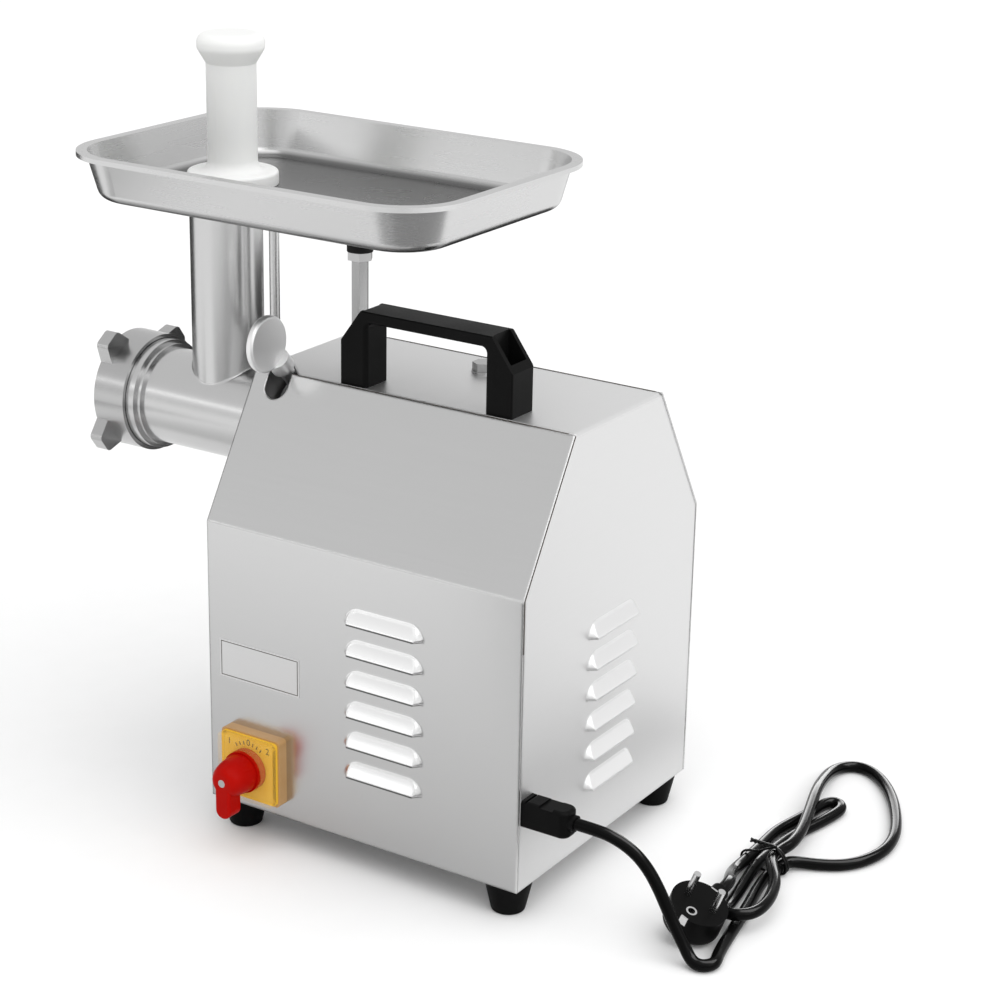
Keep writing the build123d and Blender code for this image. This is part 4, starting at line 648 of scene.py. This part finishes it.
def ink(name, data, reach, angle, turn=0.0):
    """Lay a flat piece of ink on the dial, so far from its middle, at an angle from upright."""
    across, rise = -reach * sin(angle), reach * cos(angle)
    place = Matrix.Translation((dial_high.x + ink_lift, dial_middle.y + across, dial_middle.z + rise))
    add_trim(name, data, place @ facing_out @ Matrix.Rotation(turn, 4, "Z"), "ink_and_seam_shade")


for numeral, angle, reach in (("1", 45, 22.6), ("0", 0, 18.4), ("2", -45, 22.6)):
    text = bpy.data.curves.new(f"numeral_{numeral}", "FONT")
    text.body = numeral
    text.size = numeral_size
    text.extrude = numeral_thickness
    text.align_x = "CENTER"
    text.align_y = "CENTER"
    ink(f"dial_numeral_{numeral}", text, reach * MM, radians(angle))
for index, angle in enumerate((-34, -23, -12, 12, 23, 34)):
    mark = bar_mesh(f"tick_{index}", tick_width, tick_height)
    ink(f"dial_tick_{index}", mark, tick_reach, radians(angle), radians(angle))
print("ink at x =", round(dial_high.x, 4))

# %% [markdown]
# A blank plate
#
# On the side panel sits a small plate. It is left blank: a thin leaf of the same steel with a dark line along
# its border. The line could be painted by a mask, but as a flat frame of four faces it is real geometry, and
# keeps its width from any distance. One function makes both, from one inset or from two. The switch's frame
# sits on the same panel, so its box says where the panel is.

# %% Blank plate on the side
plate_low, plate_high = Vector((-114, 113)), Vector((-48, 140))
side_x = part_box("switch_frame")[0].x
leaf_x = side_x + 0.20 * MM
line_x = side_x + 0.26 * MM


def plate_mesh(name, insets, x_low, x_high):
    """A leaf for one inset from the plate's border, a flat frame for two, between two places along X."""
    mesh = bpy.data.meshes.new(name)
    shape = bmesh.new()
    rows = []
    for inset in insets:
        low = plate_low + Vector((inset, inset))
        high = plate_high - Vector((inset, inset))
        corners = ((low.x, low.y), (high.x, low.y), (high.x, high.y), (low.x, high.y))
        rows.append([shape.verts.new((x_high, y * MM, z * MM)) for y, z in corners])
    if len(rows) == 1:
        faces = [shape.faces.new(rows[0])]
    else:
        outer, inner = rows
        sides = zip(outer, outer[1:] + outer[:1], inner[1:] + inner[:1], inner)
        faces = [shape.faces.new(side) for side in sides]
    solid = bmesh.ops.extrude_face_region(shape, geom=faces)
    moved = [item for item in solid["geom"] if isinstance(item, bmesh.types.BMVert)]
    bmesh.ops.translate(shape, vec=(x_low - x_high, 0, 0), verts=moved)
    bmesh.ops.recalc_face_normals(shape, faces=shape.faces)
    shape.to_mesh(mesh)
    shape.free()
    return mesh


steel("plate_leaf", 0.72, 0.42, (400, 12, 400))
leaf = plate_mesh("blank_plate", (0.0,), side_x, leaf_x)
border = plate_mesh("blank_plate_line", (1.2, 1.7), leaf_x, line_x)
add_trim("blank_plate", leaf, Matrix(), "plate_leaf")
add_trim("blank_plate_line", border, Matrix(), "ink_and_seam_shade")
print("blank plate at x =", round(side_x, 4))

# %% [markdown]
# Seams
#
# Where a side cover meets the top panel and the rear panel, sheet ends beside sheet and shade falls into the
# joint, so it shows as a thin dark line. The solids have a real gap there, but it is narrow and comes out
# pale,
# so that shade is painted: a flat dark bar is laid along the joints that show.

# %% Painted shade along the seams
seam_lift = 0.05 * MM
seam_x, seam_y = 54.2 * MM, 12.0 * MM
seam_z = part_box("housing_wrap")[1].z + seam_lift
seam_width, seam_length = 1.3 * MM, 212.0 * MM
# Painted shade: a dark bar along each seam beside the top panel.
for side in (-1, 1):
    bar = bar_mesh("top_seam_shade", seam_width, seam_length)
    place = Matrix.Translation((side * seam_x, seam_y, seam_z))
    add_trim(f"top_seam_shade_{side}", bar, place, "ink_and_seam_shade")

gap_foot, gap_fold, gap_top = Vector((108.4, 0, 186)), Vector((108.4, 0, 220.6)), Vector((53.6, 0, 312.3))
gap_width = 1.0 * MM
rear_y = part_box("side_cover_switch")[1].y + seam_lift
# Painted shade: dark bars along the side cover's rear edge.
for index, (start, end) in enumerate(((gap_foot, gap_fold), (gap_fold, gap_top))):
    run = end - start
    along = run.normalized()
    across = along.cross(Vector((0, 1, 0)))
    turn = Matrix((across, along, across.cross(along))).transposed().to_4x4()
    middle = (start + end) / 2 * MM
    bar = bar_mesh("cover_gap_shade", gap_width, run.length * MM)
    place = Matrix.Translation((middle.x, rear_y, middle.z)) @ turn
    add_trim(f"cover_gap_shade_{index}", bar, place, "ink_and_seam_shade")
print("seams at z =", round(seam_z, 4), "and y =", round(rear_y, 4))

# %% [markdown]
# Sky and floor
#
# The photograph is a packshot: white floor, white room, soft shadows. A backdrop could be bent up behind the
# machine, but a white sky over a wide flat floor has no edge to hide and lights the machine from all round.
# The floor is paper, with a faint fibre.

# %% Sky and floor
scene = bpy.context.scene
scene.view_settings.view_transform = "Standard"

world = bpy.data.worlds.new("studio_sky")
world.use_nodes = True
sky = world.node_tree.nodes["Background"]
sky.inputs["Color"].default_value = (1.0, 1.0, 1.0, 1)
sky.inputs["Strength"].default_value = 0.80
scene.world = world

floor_reach = 14.0
floor_mesh = bpy.data.meshes.new("floor")
floor_shape = bmesh.new()
bmesh.ops.create_grid(floor_shape, x_segments=1, y_segments=1, size=floor_reach)
floor_shape.to_mesh(floor_mesh)
floor_shape.free()
floor = bpy.data.objects.new("floor", floor_mesh)
scene.collection.objects.link(floor)
paper = Finish("floor_paper", {"Roughness": 0.9})
fibre = paper.noise(40.0, 3.0)
paper.feed("Base Color", fibre.mix(grey(0.92), grey(0.94)))
floor.data.materials.append(paper.material)
print("floor half width:", floor_reach)

# %% [markdown]
# Lights
#
# Under a white sky alone the floor would look grey, so a wide soft sun lifts it to paper white, and a box
# behind the machine brightens the rear panel. A narrow box is there for the barrel to mirror. The black lead
# only shows its roundness by bright lines, so two strong boxes light the lead and its tie and nothing else.
# Blender calls that light linking.

# %% Lights
def lamp(name, kind, energy, location, target, **settings):
    """A light that looks at a point."""
    light = bpy.data.lights.new(name, kind)
    light.energy = energy
    for key, value in settings.items():
        setattr(light, key, value)
    holder = bpy.data.objects.new(name, light)
    holder.location = location
    holder.rotation_mode = "QUATERNION"
    aim = Vector(target) - Vector(location)
    holder.rotation_quaternion = aim.to_track_quat("-Z", "Y")
    scene.collection.objects.link(holder)
    return holder


lamp("soft_sun", "SUN", 1.25, (0.6, 1.2, 3.0), (0, 0, 0), angle=radians(70))
lamp("rear_box", "AREA", 9.0, (0.2, 2.2, 1.1), (0, 0, 0.2), shape="RECTANGLE", size=1.6, size_y=1.2)
barrel_box = lamp(
    "barrel_box", "AREA", 0.8, (1.52, -1.12, 0.76), (0, -0.2, 0.26), shape="RECTANGLE", size=1.3, size_y=0.12,
)
cord_box = lamp(
    "cord_box", "AREA", 170.0, (-0.6, 0.9, 1.9), (-0.1, 0.2, 0), shape="RECTANGLE", size=1.6, size_y=1.8,
)
cord_rear = lamp(
    "cord_rear", "AREA", 45.0, (-1.6, -0.6, 0.55), (-0.1, 0.2, 0), shape="RECTANGLE", size=1.8, size_y=0.6,
)
for box in (barrel_box, cord_box, cord_rear):
    box.visible_camera = False
    box.visible_diffuse = False
lit_by_box = bpy.data.collections.new("lit_by_cord_box")
for wire in (mains_lead, tie_wire, tie_tail):
    lit_by_box.objects.link(wire)
for box in (cord_box, cord_rear):
    box.light_linking.receiver_collection = lit_by_box

# %% [markdown]
# Dark cards
#
# Without something dark to mirror, polished steel looks like chalk. A photographer puts black and grey cards
# round the set, just outside the picture. Here each card lies on the floor or stands on it, and only mirrors
# can see it: it casts no shadow and is hidden from the camera. One card goes from grey to pale along X, which
# gives the side panel its slow change of tone.

# %% Cards for the steel to mirror
card_lift = 1.0 * MM


def card(name, corners, low, high=None):
    """A card that only mirrors can see, of one tone or with a tone that changes along X."""
    mesh = bpy.data.meshes.new(name)
    mesh.from_pydata(corners, [], [range(len(corners))])
    board = bpy.data.objects.new(name, mesh)
    scene.collection.objects.link(board)
    board.visible_camera = False
    board.visible_diffuse = False
    board.visible_shadow = False
    board.visible_transmission = False
    felt = Finish(name, {"Roughness": 0.9, "Specular IOR Level": 0.0})
    start = min(corner[0] for corner in corners)
    reach = max(corner[0] for corner in corners) - start
    along = (felt.axis("X") - start) / reach + felt.noise(60.0) * 0.02
    felt.feed("Base Color", along.mix(grey(low), grey(high or low)))
    board.data.materials.append(felt.material)


def lying(*places):
    """Corners of a card that lies on the floor."""
    return [(x, y, card_lift / 2) for x, y in places]


def standing(start, end, top):
    """Corners of a card that stands on the floor between two places."""
    return [(*start, card_lift), (*end, card_lift), (*end, top), (*start, top)]


near_outline = (
    (0.42, -0.06), (0.62, -0.19), (1.10, -0.42), (1.30, 0.80),
    (0.30, 1.30), (-0.40, 0.80), (-0.30, 0.48), (0.0, 0.38),
)
card("flag_near", lying(*near_outline), 0.25)
card("flag_front", lying((0.30, -0.86), (0.70, -0.86), (0.70, -0.69), (0.30, -0.69)), 0.25)
card("flag_far", lying((-1.7, -1.15), (-0.4, -1.15), (-0.4, -0.35), (-1.7, -0.35)), 0.15)
card("flag_side", lying((0.11, -0.53), (0.63, -0.53), (0.63, 0.11), (0.11, 0.11)), 0.60, 0.93)
card("flag_right", standing((-0.367, -0.194), (-0.233, 0.074), 0.30), 0.05)
card("flag_left", standing((-0.276, -0.565), (0.076, -0.635), 0.42), 0.05)
